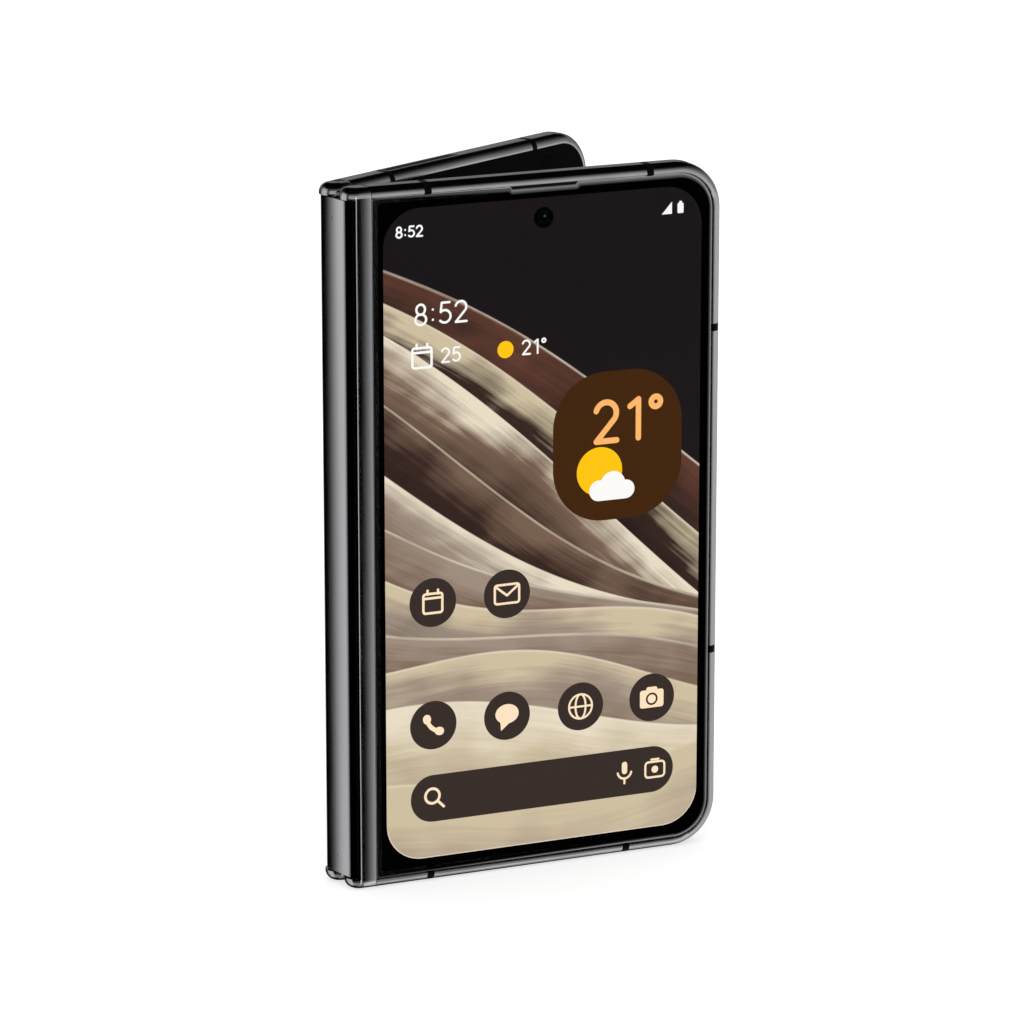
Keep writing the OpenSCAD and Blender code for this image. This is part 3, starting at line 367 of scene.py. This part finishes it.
def wallpaper():
    """Layered sand-coloured folds that sweep over a dark ground"""
    material, g = new_material("wallpaper")
    shader = g.add("ShaderNodeBsdfPrincipled")
    place = g.place()
    x, _, z = g.split(place)[:3]
    across = g.math("DIVIDE", g.math("SUBTRACT", x, SCREEN_LOW.x * MM), SCREEN_W * MM)
    up = g.math("DIVIDE", g.math("SUBTRACT", z, SCREEN_LOW.z * MM), SCREEN_W * MM)
    shown = g.mix(g.fade(up, 0.2, 1.9), srgb(34, 27, 27), NIGHT)
    folds = [
        # height at the left, slope, swing, waves, shift, depth of its shading, crest, middle, foot
        (1.74, -0.62, 0.07, 3.0, 0.4, 0.50, RUST, UMBER, NIGHT),
        (1.60, -0.66, 0.09, 2.8, 0.9, 0.30, CREAM, UMBER, NIGHT),
        (1.48, -0.70, 0.10, 2.6, 1.3, 0.34, PEARL, BARK, UMBER),
        (1.32, -0.58, 0.08, 3.4, 2.4, 0.40, BARK, UMBER, NIGHT),
        (1.18, -0.52, 0.09, 2.9, 3.3, 0.30, PEARL, DUST, RUST),
        (1.04, -0.42, 0.06, 3.3, 3.7, 0.30, DUST, BARK, NIGHT),
        (0.92, -0.36, 0.08, 3.7, 4.1, 0.34, CREAM, DUST, UMBER),
        (0.76, -0.28, 0.07, 3.1, 5.0, 0.36, DUST, BARK, RUST),
        (0.60, -0.14, 0.06, 4.2, 5.9, 0.36, CREAM, DUST, BARK),
        (0.42, -0.06, 0.06, 3.6, 0.9, 0.40, PEARL, CREAM, DUST),
        (0.20, 0.04, 0.04, 4.6, 2.0, 0.30, CREAM, CREAM, DUST),
    ]
    for number, (height, slope, swing, waves, shift, depth, crest, middle, foot) in enumerate(folds):
        wave = g.math("SINE", g.math("MULTIPLY_ADD", across, waves, shift))
        line = g.math("MULTIPLY_ADD", across, slope, height)
        line = g.math("MULTIPLY_ADD", wave, swing, line)
        under = g.math("SUBTRACT", line, up)
        sweep = g.add("ShaderNodeCombineXYZ")
        g.put(sweep.inputs[0], g.math("MULTIPLY", across, 1.6))
        g.put(sweep.inputs[1], number * 3.7)
        g.put(sweep.inputs[2], g.math("MULTIPLY", under, 46))
        threads = g.noise(sweep.outputs[0], 1.0, detail=8, rough=0.75)
        clouds = g.noise(g.scaled(place, (55, 1, 90), (0, -slope, number)), 1.0, detail=2)
        streaked = g.math("MULTIPLY_ADD", g.math("SUBTRACT", threads, 0.5), 0.75 * depth, under)
        streaked = g.math("MULTIPLY_ADD", g.math("SUBTRACT", clouds, 0.5), 0.9 * depth, streaked)
        shade = g.math("DIVIDE", streaked, depth)
        colour = g.ramp(shade, [(0.0, crest), (0.35, middle), (0.95, foot)])
        rim = g.math("MULTIPLY", g.fade(under, 0.012, 0.002), g.fade(threads, 0.35, 0.6, 0.1, 0.75))
        colour = g.mix(rim, colour, PEARL)
        shown = g.mix(g.fade(under, -0.002, 0.003), shown, colour)
    shader.inputs["Base Color"].default_value = UNLIT
    shader.inputs["Roughness"].default_value = 0.3
    shader.inputs["Specular IOR Level"].default_value = 0
    g.link(shown, shader.inputs["Emission Color"])
    shader.inputs["Emission Strength"].default_value = LIT
    g.surface(shader.outputs[0])
    return material


def speaker_mesh(name):
    """Black woven mesh with rows of holes, whose insides are painted darker as shade"""
    material, g = new_material(name)
    shader = g.add("ShaderNodeBsdfPrincipled")
    cells = g.add("ShaderNodeTexVoronoi", feature="F1")
    g.link(g.place(), cells.inputs["Vector"])
    cells.inputs["Scale"].default_value = 4200
    cells.inputs["Randomness"].default_value = 0.1
    # The same mask dents the holes and paints shade in them: black holes, a slightly lighter weave
    depth = g.fade(cells.outputs["Distance"], 0.2, 0.45)
    g.link(g.mix(depth, (0.0, 0.0, 0.0), (0.007, 0.007, 0.0075)), shader.inputs["Base Color"])
    shader.inputs["Roughness"].default_value = 0.45
    shader.inputs["Specular IOR Level"].default_value = 0.06
    g.link(g.bump(depth, 0.05 * MM), shader.inputs["Normal"])
    g.surface(shader.outputs[0])
    return material


def solder_mask():
    """Green board with its copper traces showing through"""
    material, g = new_material("solder_mask")
    shader = g.add("ShaderNodeBsdfPrincipled")
    traces = g.add("ShaderNodeTexBrick")
    g.link(g.scaled(g.place(), (700, 700, 700), (math.pi / 2, 0, 0)), traces.inputs["Vector"])
    traces.inputs["Color1"].default_value = (0.012, 0.06, 0.028, 1)
    traces.inputs["Color2"].default_value = (0.02, 0.09, 0.04, 1)
    traces.inputs["Mortar"].default_value = (0.05, 0.15, 0.07, 1)
    traces.inputs["Mortar Size"].default_value = 0.03
    g.link(traces.outputs["Color"], shader.inputs["Base Color"])
    shader.inputs["Roughness"].default_value = 0.35
    g.surface(shader.outputs[0])
    return material


MATERIALS = {
    "polished_frame": polished_metal("polished_frame", (0.34, 0.34, 0.35)),
    "polished_hinge": polished_metal("polished_hinge", (0.36, 0.36, 0.37), 0.16),
    "band_plastic": finish_material("band_plastic", (0.002, 0.002, 0.0022), 0.35, bump=0.002, level=0.03),
    "screen": wallpaper(),
    "screen_border": finish_material("screen_border", (0.0012, 0.0012, 0.0014), 0.5, level=0),
    "cover_glass": clear_glass(),
    "inner_screen": finish_material("inner_screen", (0.002, 0.002, 0.0025), 0.07, rough_spread=0.02,
                                    level=0.008),
    "bezel": finish_material("bezel", (0.0015, 0.0015, 0.0018), 0.38, bump=0.003, level=0.01),
    "back_glass": finish_material("back_glass", (0.013, 0.013, 0.014), 0.3, rough_spread=0.04, scale=3000,
                                  bump=0.002),
    "camera_window": finish_material("camera_window", (0.004, 0.004, 0.0045), 0.04, rough_spread=0.01,
                                     coat=0.5),
    "lens": finish_material("lens", (0.006, 0.006, 0.008), 0.12, coat=0.4),
    "steel": brushed_steel("steel"),
    "brass": finish_material("brass", (0.62, 0.44, 0.2), 0.3, metal=1.0, bump=0.006),
    "battery": finish_material("battery", (0.03, 0.03, 0.034), 0.5, bump=0.02, scale=500),
    "board": solder_mask(),
    "speaker": finish_material("speaker", (0.03, 0.03, 0.032), 0.5, bump=0.01),
    "flash": finish_material("flash", (0.85, 0.8, 0.6), 0.2, coat=0.5),
    "key_metal": polished_metal("key_metal", (0.34, 0.34, 0.35), 0.18),
    "sensor": finish_material("sensor", (0.005, 0.005, 0.006), 0.15, coat=0.4),
}


def dress_frame():
    """Every CAD node takes the material of its slot, and a few take one of their own"""
    for name, node in NODES.items():
        node.data.materials.clear()
        node.data.materials.append(MATERIALS[SLOT_OF[name]])
    colour = (0.36, 0.36, 0.37)
    along_front = Vector((1, 0, 0))
    along_rear = REAR.to_3x3() @ along_front
    special = {
        "earpiece_mesh": speaker_mesh("earpiece_weave"),
        "inner_camera": finish_material("inner_camera_glass", (0.001, 0.001, 0.0014), 0.1, level=0.01),
        "front_hinge_rail": crowned_metal("front_hinge_polish", colour, 0.12, rail_crown, (0, 0, 0),
                                          along_front),
        "rear_hinge_rail": crowned_metal("rear_hinge_polish", colour, 0.12, rail_crown, REAR_PIVOT,
                                         along_rear),
        # The spine cover's edges carry painted shade
        "spine_cover": paint_lip_shade(crowned_metal("spine_polish", colour, 0.14, spine_crown, REAR_PIVOT / 2,
                                                 REAR_PIVOT.normalized())),
    }
    for name, material in special.items():
        NODES[name].data.materials[0] = material


# Mesh helpers: shapes are written in millimetres


def add_object(name, mesh, matrix=Matrix.Identity(4)):
    mesh.transform(TO_METRES @ matrix)
    if matrix.determinant() < 0:
        mesh.flip_normals()
    piece = bpy.data.objects.new(name, mesh)
    bpy.context.scene.collection.objects.link(piece)
    return piece


def mesh_of(name, points, faces, material, smooth=False):
    mesh = bpy.data.meshes.new(name)
    mesh.from_pydata([tuple(p) for p in points], [], faces)
    mesh.materials.append(material)
    mesh.validate()
    tidy = bmesh.new()
    tidy.from_mesh(mesh)
    bmesh.ops.recalc_face_normals(tidy, faces=tidy.faces)
    tidy.to_mesh(mesh)
    tidy.free()
    if smooth:
        mesh.shade_smooth()
    return mesh


def arc(cx, cz, radius, start, end, steps):
    """Points of an arc, from start to end in degrees"""
    angles = [math.radians(start + (end - start) * i / steps) for i in range(steps + 1)]
    return [(cx + radius * math.cos(a), cz + radius * math.sin(a)) for a in angles]


def rounded_box(x0, x1, z0, z1, r_low, r_high, steps=20):
    """Outline with one corner radius at its low X side and one at its high X side"""
    return (
        arc(x0 + r_low, z0 + r_low, r_low, 180, 270, steps)
        + arc(x1 - r_high, z0 + r_high, r_high, 270, 360, steps)
        + arc(x1 - r_high, z1 - r_high, r_high, 0, 90, steps)
        + arc(x0 + r_low, z1 - r_low, r_low, 90, 180, steps)
    )


def inset_of(outline, amounts):
    """The closed outline moved inwards by an amount at each point"""
    moved = []
    count = len(outline)
    for i, point in enumerate(outline):
        here = Vector(point)
        before = (here - Vector(outline[i - 1])).normalized()
        after = (Vector(outline[(i + 1) % count]) - here).normalized()
        inward = Vector((-before.y - after.y, before.x + after.x)).normalized()
        spread = max(inward.dot(Vector((-before.y, before.x))), 0.5)
        moved.append(here + inward * amounts[i] / spread)
    return moved


def lofted_plate(name, outline, profile, share, material):
    """Plate whose edge follows a profile of (inset, depth) points, from its back to its face"""
    points, faces = [], []
    count = len(outline)
    for inset, y in profile:
        ring = inset_of(outline, [inset * share(p) for p in outline])
        points += [(p.x, y, p.y) for p in ring]
    for level in range(len(profile) - 1):
        for i in range(count):
            j = (i + 1) % count
            a, b = level * count, (level + 1) * count
            faces.append((a + i, a + j, b + j, b + i))
    faces.append(tuple(range(count)))
    faces.append(tuple(range((len(profile) - 1) * count, len(profile) * count)))
    return mesh_of(name, points, faces, material)


def without_repeats(outline):
    kept = []
    for point in outline:
        if not kept or (Vector(point) - Vector(kept[-1])).length > 1e-4:
            kept.append(point)
    if (Vector(kept[0]) - Vector(kept[-1])).length < 1e-4:
        kept.pop()
    return kept


def smooth_curves(piece, sharp=40):
    """Smooth shading on curves, while flat faces stay flat and sharp edges stay sharp"""
    mesh = piece.data
    mesh.shade_smooth()
    mesh.set_sharp_from_angle(angle=math.radians(sharp))
    weighted = piece.modifiers.new("weighted_normals", "WEIGHTED_NORMAL")
    weighted.keep_sharp = True
    weighted.weight = 100


# Cover glass


def cover_glass_outline():
    """Glass outline with the earpiece slot in its top edge"""
    plain = rounded_box(GLASS_LOW.x, GLASS_HIGH.x, GLASS_LOW.z, GLASS_HIGH.z, CORNER_HINGE, CORNER_FREE, 24)
    top = GLASS_HIGH.z
    half = EAR_L / 2
    slot = [
        (EAR_X + half, top), (EAR_X + half - EAR_D, top - EAR_D),
        (EAR_X - half + EAR_D, top - EAR_D), (EAR_X - half, top),
    ]
    corner = next(i for i, p in enumerate(plain) if abs(p[1] - top) < 1e-6 and p[0] > EAR_X)
    return without_repeats(plain[: corner + 1] + slot + plain[corner + 1:])


def edge_share(point):
    """The glass's curved edge is narrow beside the hinge"""
    t = min(max((point[0] - GLASS_LOW.x) / 10, 0), 1)
    return 0.4 + 0.6 * t * t * (3 - 2 * t)


def add_cover_glass():
    """Plate with a curved edge, in place of the flat CAD plate"""
    turns = [(1 - math.cos(a), math.sin(a)) for a in (math.radians(15 * i) for i in range(1, 7))]
    rim_y = FACE_Y + EDGE_DEPTH
    profile = [(0.0, GLASS_BACK_Y), (0.0, rim_y)]
    profile += [(EDGE_REACH * a, rim_y - EDGE_DEPTH * b) for a, b in turns]
    mesh = lofted_plate("cover_glass_plate", cover_glass_outline(), profile, edge_share,
                        MATERIALS["cover_glass"])
    mesh.materials.append(glass_rim_painted_sheen())
    rim = mesh.attributes.new("rim", "FLOAT", "POINT")
    ring = len(mesh.vertices) // len(profile)
    rim.data.foreach_set("value", [inset / EDGE_REACH for inset, _ in profile for _ in range(ring)])
    for face in mesh.polygons:
        face.material_index = int(len(face.vertices) == 4 and face.center.y < rim_y)
    piece = add_object("cover_glass_plate", mesh)
    smooth_curves(piece)
    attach(piece, "front_half")
    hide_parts("cover_glass")


# What the display shows: flat shapes between the panel and the glass

LAYER = 0.008


def flat_shape(name, outlines, layer, material):
    """One flat piece on the display from closed outlines, each (x, z) in millimetres"""
    y = SCREEN_Y - layer * LAYER
    points, faces = [], []
    for outline in outlines:
        first = len(points)
        points += [(x, y, z) for x, z in outline]
        faces.append(tuple(range(first, len(points))))
    piece = add_object(name, mesh_of(name, points, faces, material))
    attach(piece, "front_half")
    return piece


def disc(cx, cz, radius, steps=48):
    return arc(cx, cz, radius, 0, 360, steps)[:-1]


def oval(cx, cz, rx, rz, steps=40):
    turns = [2 * math.pi * i / steps for i in range(steps)]
    return [(cx + rx * math.cos(a), cz + rz * math.sin(a)) for a in turns]


def strokes(paths, width):
    """Outlines of lines with round ends and corners. A path that ends where it starts is closed"""
    outlines = []
    for path in paths:
        for start, end in zip(path, path[1:]):
            a, b = Vector(start), Vector(end)
            side = (b - a).normalized() * width / 2
            side = Vector((-side.y, side.x))
            outlines.append([tuple(a + side), tuple(a - side), tuple(b - side), tuple(b + side)])
        outlines += [disc(x, z, width / 2, 12) for x, z in path]
    return outlines


def closed(outline):
    return outline + outline[:1]


# Plain digits in a cell 1 wide and 1.7 high
DIGITS = {
    "0": [closed(oval(0.5, 0.85, 0.5, 0.85))],
    "1": [[(0.2, 1.42), (0.6, 1.7), (0.6, 0)]],
    "2": [arc(0.5, 1.22, 0.48, 165, -35, 16) + [(0.04, 0), (1.0, 0)]],
    "5": [[(0.92, 1.7), (0.22, 1.7), (0.13, 0.93)] + arc(0.48, 0.55, 0.52, 130, -140, 18)],
    "8": [closed(oval(0.5, 1.28, 0.38, 0.42)), closed(oval(0.5, 0.44, 0.48, 0.44))],
    ":": [[(0.15, 0.35), (0.15, 0.36)], [(0.15, 1.2), (0.15, 1.21)]],
    "°": [closed(oval(0.22, 1.52, 0.22, 0.22, 16))],
}
ADVANCE = {":": 0.72, "1": 1.2}


def number(text, x, z, height, weight=0.25):
    """Strokes of a number from its lower left corner"""
    size = height / 1.7
    outlines = []
    for mark in text:
        paths = [[(x + px * size, z + pz * size) for px, pz in path] for path in DIGITS[mark]]
        outlines += strokes(paths, weight * size)
        x += ADVANCE.get(mark, 1.42) * size
    return outlines


# Places on the display, from the hinge axis and the bottom edge
DOCK_X = (14.95, 30.7, 46.6, 62.2)
DOCK_Z = 31.9
ROW_Z = 56.8
DISC_R = 4.93
PILL = (10.1, 67.0, 12.1, 21.7)
BADGE_BOX = (40.5, 68.3, 69.5, 99.5)


def handset(x, z):
    bow = arc(x + 1.9, z + 1.9, 3.3, 188, 262, 14)
    return strokes([bow], 0.9) + strokes([bow[:2], bow[-2:]], 1.7)


def bubble(x, z):
    return [oval(x, z + 0.4, 2.5, 2.0), [(x - 1.5, z - 0.6), (x - 1.3, z - 3.0), (x + 0.9, z - 1.2)]]


def globe(x, z):
    rings = [closed(oval(x, z, r, 2.5)) for r in (2.5, 1.1)]
    return strokes(rings + [[(x - 2.5, z), (x + 2.5, z)]], 0.42)


def camera_mark(x, z):
    return [rounded_box(x - 2.6, x + 2.6, z - 2.1, z + 1.6, 0.5, 0.5, 5),
            rounded_box(x - 1.2, x + 1.2, z + 1.2, z + 2.2, 0.4, 0.4, 4)]


def calendar(x, z):
    page = rounded_box(x - 2.0, x + 2.0, z - 2.1, z + 1.8, 0.5, 0.5, 5)
    pins = [[(x + s * 1.1, z + 1.7), (x + s * 1.1, z + 2.5)] for s in (-1, 1)]
    return strokes([closed(page)] + pins + [[(x - 2.0, z + 0.9), (x + 2.0, z + 0.9)]], 0.5)


def envelope(x, z):
    sheet = closed(rounded_box(x - 2.6, x + 2.6, z - 1.9, z + 1.9, 0.5, 0.5, 5))
    return strokes([sheet, [(x - 2.4, z + 1.6), (x, z - 0.3), (x + 2.4, z + 1.6)]], 0.48)


def magnifier(x, z):
    lens = closed(oval(x - 0.4, z + 0.5, 1.5, 1.5))
    return strokes([lens, [(x + 0.7, z - 0.6), (x + 2.0, z - 1.9)]], 0.55)


def microphone(x, z):
    bow = arc(x, z + 0.3, 1.5, 190, 350, 14)
    return strokes([[(x, z + 0.3), (x, z + 1.7)]], 1.2) + strokes([bow, [(x, z - 1.2), (x, z - 2.2)]], 0.45)


def camera_line(x, z):
    body = closed(rounded_box(x - 2.1, x + 2.1, z - 1.7, z + 1.5, 0.7, 0.7, 5))
    return strokes([body, [(x - 0.8, z + 2.0), (x + 0.8, z + 2.0)]], 0.45) + [disc(x, z - 0.1, 0.75, 20)]


def add_home_screen():
    """Clock, status marks, round keys, search bar and weather card of a plain home screen"""
    dark = display_ink("ink_disc", DISC)
    cream = display_ink("ink_glyph", GLYPH)
    white = display_ink("ink_white", WHITE)
    spots = [(x, DOCK_Z) for x in DOCK_X] + [(x, ROW_Z) for x in DOCK_X[:2]]
    pill_r = (PILL[3] - PILL[2]) / 2
    pill_z = (PILL[3] + PILL[2]) / 2
    flat_shape("home_discs", [disc(x, z, DISC_R) for x, z in spots], 1, dark)
    flat_shape("search_bar", [rounded_box(*PILL, pill_r, pill_r)], 1, dark)
    marks = (handset, bubble, globe, camera_mark, calendar, envelope)
    glyphs = [outline for mark, (x, z) in zip(marks, spots) for outline in mark(x, z)]
    flat_shape("home_glyphs", glyphs, 2, cream)
    flat_shape("home_glyph_lens", strokes([closed(oval(DOCK_X[3], DOCK_Z - 0.3, 1.1, 1.1))], 0.4), 3, dark)
    bar_marks = magnifier(PILL[0] + 5, pill_z) + microphone(56.3, pill_z) + camera_line(63, pill_z)
    flat_shape("search_glyphs", bar_marks, 2, cream)
    flat_shape("weather_card", [rounded_box(*BADGE_BOX, 11, 11)], 1, display_ink("ink_card", BADGE))
    flat_shape("weather_number", number("21°", 49.6, 85.5, 7.8, 0.26), 2, display_ink("ink_peach", PEACH))
    flat_shape("weather_sun", [disc(50.5, 79.5, 4.9)], 3, display_ink("ink_sun", AMBER))
    cloud = [disc(50.4, 75.6, 2.1, 32), disc(53.4, 76.6, 2.7, 32), disc(56.2, 75.4, 1.9, 32),
             rounded_box(50.4, 56.2, 73.5, 76, 0.2, 0.2, 3)]
    flat_shape("weather_cloud", cloud, 4, white)
    wedge = [(63.6, 129.7), (65.8, 129.7), (65.8, 132.1)]
    battery = [rounded_box(67.0, 68.3, 129.7, 131.7, 0.2, 0.2, 4),
               rounded_box(67.35, 67.95, 131.6, 132.1, 0.1, 0.1, 3)]
    flat_shape("status_marks", [wedge] + battery + number("8:52", 7.7, 129.6, 2.0, 0.32), 1, white)
    day = number("8:52", 11.5, 112.2, 4.0, 0.2) + calendar(12.9, 105.9) + number("25", 17.0, 104.5, 2.7)
    flat_shape("day_line", day + number("21°", 34.0, 104.5, 2.7), 1, white)
    # Bright line along the lower edge and round the lower corners
    lit_rim = rounded_box(SCREEN_LOW.x + 0.1, SCREEN_HIGH.x - 0.1, SCREEN_LOW.z + 0.1, 30, 7.5, 7.5, 24)
    low_edge = [p for p in lit_rim if p[1] < SCREEN_LOW.z + 7]
    flat_shape("screen_low_edge", strokes([low_edge], 0.16), 2, display_ink("ink_edge", PEARL))
    flat_shape("day_sun", [disc(30.4, 105.8, 1.7)], 1, display_ink("ink_day_sun", AMBER))


def add_camera_rings():
    """Rings of the cover camera's lens, right behind the glass, and a glowing painted glint on the lens"""
    rings = ((2.0, (0.001, 0.001, 0.0012)), (1.35, (0.004, 0.006, 0.009)), (0.8, (0.001, 0.0015, 0.0025)))
    for layer, (radius, colour) in enumerate(rings, 1):
        name = f"camera_ring_{layer}"
        material = finish_material(name, colour, 0.12, coat=0.5)
        flat_shape(name, [disc(CAMERA_X, CAMERA_Z, radius)], layer, material)
    # Painted glint: a small glowing oval standing in for the lens's reflection
    glint = display_ink("camera_painted_glint", (0.02, 0.07, 0.1), 1.0)
    flat_shape("camera_painted_glint", [oval(CAMERA_X + 0.15, CAMERA_Z + 0.3, 0.3, 0.22)], 4, glint)


# Flexible screen over the hinge: two strips, each curved across one joint in its rest shape

FOLD_T = 0.3
FOLD_X = 3.6
FOLD_Y = box_mm("front_inner_screen")[1].y
FOLD_STEPS = 40


def turned(point, angle):
    c, s = math.cos(angle), math.sin(angle)
    return Vector((c * point.x - s * point.y, s * point.x + c * point.y))


def fold_ends():
    """Where a strip's blend starts and ends at rest: its screen's edge and the hinge's middle"""
    start = Vector((box_mm("front_inner_screen")[0].x, FOLD_Y))
    middle = turned(Vector((-PITCH / 2, FOLD_Y)), -OPEN_LEFT)
    return start, middle


def at_rest(flat):
    """Rest place of a point of the flat, open screen: its share of the turn undone"""
    start, end = fold_ends()
    along = end - start
    low, high = 0.0, 1.0
    for _ in range(50):
        share = (low + high) / 2
        t = (turned(flat, -share * OPEN_LEFT) - start).dot(along) / along.length_squared
        t = min(max(t, 0), 1)
        if t * t * (3 - 2 * t) > share:
            low = share
        else:
            high = share
    return turned(flat, -low * OPEN_LEFT)


def fold_strip_mesh(name):
    """Thin strip from beside the inner screen's edge to the middle of the hinge, in its rest shape"""
    box = box_mm("screen_fold")
    points, faces = [], []
    for i in range(FOLD_STEPS + 1):
        x = FOLD_X + (-PITCH / 2 - FOLD_X) * i / FOLD_STEPS
        for y in (FOLD_Y - 0.005, FOLD_Y - FOLD_T):
            p = at_rest(Vector((x, y)))
            points += [(p.x, p.y, box[0].z), (p.x, p.y, box[1].z)]
    for i in range(FOLD_STEPS):
        a, b = 4 * i, 4 * i + 4
        faces += [(a, a + 1, b + 1, b), (a + 2, b + 2, b + 3, a + 3), (a, b, b + 2, a + 2),
                  (a + 1, a + 3, b + 3, b + 1)]
    last = 4 * FOLD_STEPS
    faces += [(0, 2, 3, 1), (last, last + 1, last + 3, last + 2)]
    return mesh_of(name, points, faces, MATERIALS["inner_screen"], smooth=True)


def add_fold_strips():
    front = add_object("front_fold_strip", fold_strip_mesh("front_fold_strip"))
    rear = add_object("rear_fold_strip", fold_strip_mesh("rear_fold_strip"), REAR)
    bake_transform(front)
    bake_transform(rear)
    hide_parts("screen_fold")
    for strip in (front, rear):
        strip.data.set_sharp_from_angle(angle=math.radians(40))


dress_frame()
add_cover_glass()
add_home_screen()
add_camera_rings()
add_fold_strips()


# Camera, floor and light

FLOOR_REACH = 3000
DOME_R = 900
# Light of the studio between its panels
GLOOM = 0.003


def add_camera():
    """The photograph's viewpoint, fitted to the corners of the cover screen"""
    azimuth, elevation = math.radians(23.75), math.radians(14.52)
    aim = Vector((32.87, 0, 72.53)) * MM
    distance = 0.9823
    back = Vector((
        -math.sin(azimuth) * math.cos(elevation), -math.cos(azimuth) * math.cos(elevation),
        math.sin(elevation),
    ))
    data = bpy.data.cameras.new("camera")
    data.lens = 176.64
    data.sensor_width = 36
    data.clip_start = 0.05
    camera = bpy.data.objects.new("camera", data)
    camera.location = aim + back * distance
    camera.rotation_euler = (-back).to_track_quat("-Z", "Y").to_euler()
    bpy.context.scene.collection.objects.link(camera)
    bpy.context.scene.camera = camera


def floor_material():
    """Grey floor with a glow to the eye that makes it white, so that the object's soft shadow stays"""
    material, g = new_material("floor")
    diffuse = g.add("ShaderNodeBsdfDiffuse")
    tone = g.noise(g.place(), 3)
    g.link(g.ramp(tone, [(0.3, (0.49, 0.49, 0.495)), (0.7, (0.51, 0.51, 0.51))]), diffuse.inputs["Color"])
    glow = g.add("ShaderNodeEmission")
    path = g.add("ShaderNodeLightPath")
    g.link(g.math("MULTIPLY", path.outputs["Is Camera Ray"], 0.62), glow.inputs["Strength"])
    total = g.add("ShaderNodeAddShader")
    g.link(diffuse.outputs[0], total.inputs[0])
    g.link(glow.outputs[0], total.inputs[1])
    g.surface(total.outputs[0])
    return material


def add_floor():
    mesh = bpy.data.meshes.new("floor")
    grid = bmesh.new()
    bmesh.ops.create_grid(grid, x_segments=24, y_segments=24, size=FLOOR_REACH)
    grid.to_mesh(mesh)
    grid.free()
    mesh.materials.append(floor_material())
    floor = add_object("floor", mesh)
    floor.visible_glossy = False
    floor.visible_transmission = False


def set_world():
    """White to the eye, and a plain even light on the object"""
    world = bpy.data.worlds.new("world")
    world.use_nodes = True
    bpy.context.scene.world = world
    g = Graph(world.node_tree)
    path = g.add("ShaderNodeLightPath")
    background = g.add("ShaderNodeBackground")
    g.link(g.fade(path.outputs["Is Camera Ray"], 0, 1, 0.6, 1.0), background.inputs["Strength"])
    background.inputs["Color"].default_value = (1, 1, 1, 1)
    g.link(background.outputs[0], g.add("ShaderNodeOutputWorld").inputs["Surface"])


# Light panels of the studio, seen only in reflections. Bearings go from the phone's front (-Y)
# towards its hinge side (-X) and heights up from the horizon, both in degrees. A panel fades in
# from the first to the second, stays, and fades out from the third to the fourth
PANELS = [
    # Beside the free edge: the glass's rim, the free rails and the hinge rail's face
    ((-124, -112, -53, -32), (-80, -55, 0, 16), 1.0),
    # Behind the hinge: the spine cover
    ((70, 84, 112, 152), (-70, -50, 30, 50), 1.1),
    # Narrow strip in front: the thin line along the front hinge rail
    ((-4, 0, 5, 9), (-60, -45, 12, 25), 1.4),
    # Behind: the upper side of the top rails and of the caps
    ((-230, -200, -110, -80), (8, 14, 24, 33), 0.26),
    # In front, above the horizon: the top rails' shoulders
    ((-125, -40, 45, 75), (2, 9, 12, 56), 1.0),
    # Pale ground in front: the bottom rails and the glass's lower rim
    ((-80, -55, 60, 120), (-92, -91, -36, -25), 0.45),
]


def trapezoid(g, value, marks, strength=1.0):
    """Fades in between the first two marks and out between the last two"""
    rise = g.fade(value, marks[0], marks[1], 0, strength)
    return g.math("MULTIPLY", rise, g.fade(value, marks[3], marks[2]))


def studio_dome_material():
    """Dark studio with soft light panels"""
    material, g = new_material("studio_dome")
    x, y, z = g.split(g.place())[:3]
    level = g.math("SQRT", g.math("ADD", g.math("MULTIPLY", x, x), g.math("MULTIPLY", y, y)))
    bearing = g.math("DEGREES", g.math("ARCTAN2", g.math("MULTIPLY", x, -1), g.math("MULTIPLY", y, -1)))
    height = g.math("DEGREES", g.math("ARCTAN2", z, level))
    glow = GLOOM
    for bearings, heights, strength in PANELS:
        middle = (bearings[0] + bearings[3]) / 2
        off = g.math("WRAP", g.math("SUBTRACT", bearing, middle), 180, -180)
        part = trapezoid(g, off, [b - middle for b in bearings], strength)
        glow = g.math("ADD", glow, g.math("MULTIPLY", part, trapezoid(g, height, heights)))
    light = g.add("ShaderNodeEmission")
    g.link(glow, light.inputs["Strength"])
    g.surface(light.outputs[0])
    material.cycles.emission_sampling = "NONE"
    return material


def add_studio_dome():
    """Sphere about the phone for reflections alone"""
    mesh = bpy.data.meshes.new("studio_dome")
    ball = bmesh.new()
    bmesh.ops.create_uvsphere(ball, u_segments=96, v_segments=48, radius=DOME_R)
    ball.to_mesh(mesh)
    ball.free()
    mesh.materials.append(studio_dome_material())
    mesh.shade_smooth()
    dome = add_object("studio_dome", mesh)
    for kind in ("camera", "diffuse", "volume_scatter", "shadow"):
        setattr(dome, "visible_" + kind, False)


def add_softbox(name, place, aim, side, power):
    """Square lamp without reflections of its own, which are the dome's work"""
    data = bpy.data.lights.new(name, "AREA")
    data.shape = "SQUARE"
    data.size = side
    data.energy = power
    lamp = bpy.data.objects.new(name, data)
    lamp.location = place
    lamp.rotation_euler = (Vector(aim) - Vector(place)).to_track_quat("-Z", "Y").to_euler()
    lamp.visible_camera = False
    lamp.visible_glossy = False
    bpy.context.scene.collection.objects.link(lamp)


add_camera()
add_floor()
set_world()
add_studio_dome()
phone_middle = (0.03, 0.01, 0.07)
add_softbox("top_light", (0.2, 0.3, 1.5), phone_middle, 2.0, 15)
add_softbox("front_light", (-0.6, -1.3, 0.8), phone_middle, 1.0, 5)

bpy.context.scene.view_settings.view_transform = "Standard"
